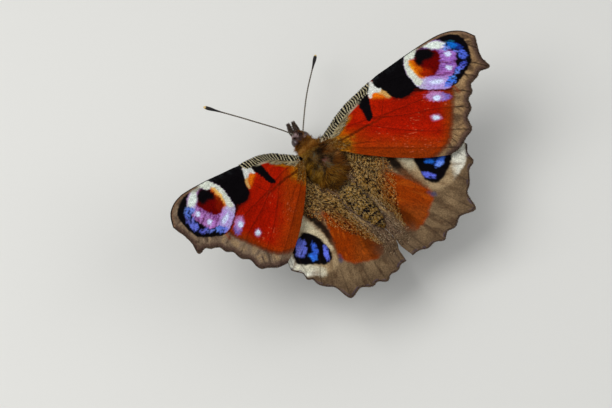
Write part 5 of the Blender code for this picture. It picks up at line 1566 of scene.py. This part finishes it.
def rounded(share, reach):
    """Share of the radius near both ends: the root of the way from the nearer end over the reach."""
    return np.sqrt(np.clip(np.minimum(share, 1 - share) / reach, 0.05, 1))

def bulge(share, ends, middle):
    """Radius that swells by a half sine from its ends to the middle and is rounded off at both ends."""
    return (ends + (middle - ends) * np.sin(np.pi * share)) * rounded(share, 0.03)

def claws(toe, forward):
    """Two small hooks: each runs forward, bends out by a sine and sinks towards the floor, thinning to its end."""
    t, across = np.linspace(0, 1, CLAW_POINTS), np.cross(forward, [0, 0, 1.0])
    for way in (-1, 1):
        bend = across * way * (CLAW_WIDE * np.sin(np.pi * t * 0.6))[:, None]
        claw = toe - forward * 0.05 + forward * (CLAW_LONG * t)[:, None] + bend
        claw[:, 2] = np.maximum(claw[:, 2] + 0.05 * np.sin(np.pi * t) - 0.09 * t, FLOOR + CLAW_CLEAR)
        yield tube(claw, CLAW_THICK * (1 - t) + 0.008, 6), plain([CLAW_POINTS], LEG_DARK)

def leg_parts(points):
    """Thigh and shin, straight lines a + (b - a) share; a foot with five joints on a smooth path, never lower
    than its radius above the floor; and a pair of claws."""
    hip, knee, ankle, heel, toe = (np.array(p) for p in points)
    share, long = np.linspace(0, 1, LIMB_POINTS), np.linspace(0, 1, FOOT_POINTS)
    line = lambda a, b: a + (b - a) * share[:, None]
    down = unit(ankle - knee)
    thigh = tube(line(hip, knee + unit(knee - hip) * 0.1), bulge(share, 0.2, 0.36), 14)
    shin = tube(line(knee - down * 0.05, ankle + down * 0.08), bulge(share, 0.17, 0.24), 14)
    foot = through([ankle, heel + [0, 0, 0.06], heel * 0.6 + toe * 0.4, toe], long)
    joint = (long * FOOT_JOINTS) % 1.0
    radius = FOOT_RADIUS * joint_waist(joint, 0.28) * rounded(long, 0.02)
    foot[:, 2] = np.maximum(foot[:, 2], FLOOR + radius)
    c_thigh = over(plain([LIMB_POINTS], LEG_DARK), LEG_BROWN, ramp(0.3, 0.9, share))
    c_shin = over(plain([LIMB_POINTS], LEG_BROWN), LEG_PALE, ramp(0.2, 0.9, share))
    c_foot = over(plain([FOOT_POINTS], LEG_PALE), LEG_DARK, ramp(0.1, 0.0, np.minimum(joint, 1 - joint)) * 0.8)
    parts = [(thigh, c_thigh), (shin, c_shin), (tube(foot, radius, 12), c_foot)]
    return parts + list(claws(toe, unit(toe - heel)))

print("a thigh's radius at its middle:", bulge(0.5, 0.2, 0.36), "mm")

# %% [markdown]
# ## Hairs and spines of the legs
# Hairs stand all round a limb and lean towards its foot. Those that would reach through the floor are left
# out, as on a standing animal they are bent away.

# %% hair of the legs
FLOOR_SPARE = 0.02

def limb_hair(name, spans, count, length, width, lift, seed):
    """Hairs and spines on straight limbs, each span given as its two ends and its radius: a root lies at a
    share of the way and an angle by chance, and leans along the limb plus lift times the way out."""
    rng = np.random.default_rng(seed)
    roots, leans, where = [], [], []
    for k, (start, end, radius) in enumerate(spans):
        start, end = np.array(start), np.array(end)
        way = unit(end - start)
        s, a = rng.uniform(0.03, 0.98, count), rng.uniform(0, 2 * np.pi, count)
        n = unit(np.array([0.1, 0.0, 1.0]) - way[2] * way)
        turned = n * np.cos(a)[:, None] + np.cross(way, n) * np.sin(a)[:, None]
        roots.append(start + (end - start) * s[:, None] + turned * radius)
        leans.append(way + turned * (lift * rng.uniform(0.5, 1.4, count))[:, None])
        where.append(np.stack([a / (2 * np.pi), (k + s) / len(spans)], -1))
    roots, leans, where = np.concatenate(roots), np.concatenate(leans), np.concatenate(where)
    keep = roots[:, 2] + np.minimum(unit(leans)[:, 2] * length, 0) > FLOOR + FLOOR_SPARE
    tip = pick(rng, len(roots), ((110, 88, 62), 3), ((70, 52, 38), 3), ((164, 142, 108), 1), ((30, 22, 20), 2))
    # the roots, at six tenths of the tip's colour, are painted shade deep in the hair
    return hairs(name, roots[keep], leans[keep], length, width, tip[keep] * 0.6, tip[keep], where[keep],
                 seed=seed)

for side, label in SIDES:
    for k, (tag, points) in enumerate(LEGS.items()):
        points = [(side * x, y, z) for x, y, z in points]
        hip, knee, ankle, heel, toe = points
        end = "_" + tag + "_" + label
        obj = tubes("leg" + end, HORN, leg_parts(points))
        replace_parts(obj, *(part + end for part in ("femur", "tibia", "foot")))
        limb_hair("leg" + end + "_hair", [(hip, knee, 0.28), (knee, ankle, 0.2)], 700, 0.34, 0.024, 0.35,
                  90 + k + side)
        limb_hair("leg" + end + "_spines", [(knee, ankle, 0.2), (heel, toe, 0.1)], 70, 0.3, 0.02, 1.0, 95 + k + side)
    path = smooth_path([(side * x, y, z) for x, y, z in FORE_LEG], FORE_POINTS)
    rings = tube(path, bulge(np.linspace(0, 1, FORE_POINTS), 0.12, 0.22), 12)
    obj = tubes("foreleg_" + label + "_core", HORN, [(rings, plain([FORE_POINTS], LEG_BROWN))])
    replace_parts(obj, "foreleg_" + label)
    limb_hair("foreleg_" + label + "_hair", [(path[10], path[32], 0.17), (path[32], path[58], 0.15)], 800, 0.42,
              0.022, 0.5, 99 + side)
print("legs made")

# %% [markdown]
# ## Floor, light and the end
# A plain pale floor, one large soft lamp above the left front, a weaker one behind, and a pale sky. The
# photograph's own light can't be known; large soft lamps show the shape and keep the colours true.

# %% floor and light
FLOOR_REACH, LAMP_TOP = 0.4, (0, 1.0, 0.1)

def plane(name, reach, colour):
    """Square floor at height nought: four corners at plus and minus the reach."""
    mesh = bpy.data.meshes.new(name)
    corners = [(x * reach, y * reach, 0) for x, y in ((-1, -1), (1, -1), (1, 1), (-1, 1))]
    mesh.from_pydata(corners, [], [(0, 1, 2, 3)])
    mat, _, shader = nodes_of(name, 0.8, 0.2)
    shader.inputs["Base Color"].default_value = (*linear(colour), 1.0)
    mesh.materials.append(mat)
    linked(bpy.data.objects.new(name, mesh))

def lamp(name, where, size, power):
    """Square lamp aimed at the body: its back points away from the frame's origin, and its right is square to
    that and to the top direction."""
    light = bpy.data.lights.new(name, "AREA")
    light.size, light.energy = size, power
    to = unit(np.array(where))
    right = unit(np.cross(LAMP_TOP, to))
    set_up(bpy.data.objects.new(name, light), right, np.cross(to, right), to, where)

plane("floor", FLOOR_REACH, (214, 213, 208))
lamp("key", (-0.14, 0.1, 0.3), 0.22, 0.75)
lamp("fill", (0.2, -0.2, 0.25), 0.3, 0.3)
world = bpy.data.worlds.new("sky")
world.use_nodes = True
sky = world.node_tree.nodes["Background"].inputs
sky["Color"].default_value, sky["Strength"].default_value = (0.95, 0.97, 1.0, 1.0), 0.5
bpy.context.scene.world = world
bpy.context.scene.view_settings.view_transform = "Standard"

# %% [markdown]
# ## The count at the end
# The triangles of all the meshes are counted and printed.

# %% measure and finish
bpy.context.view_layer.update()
meshes = [o.data for o in bpy.data.objects if o.type == "MESH"]
print("triangles", sum(len(f.vertices) - 2 for mesh in meshes for f in mesh.polygons))
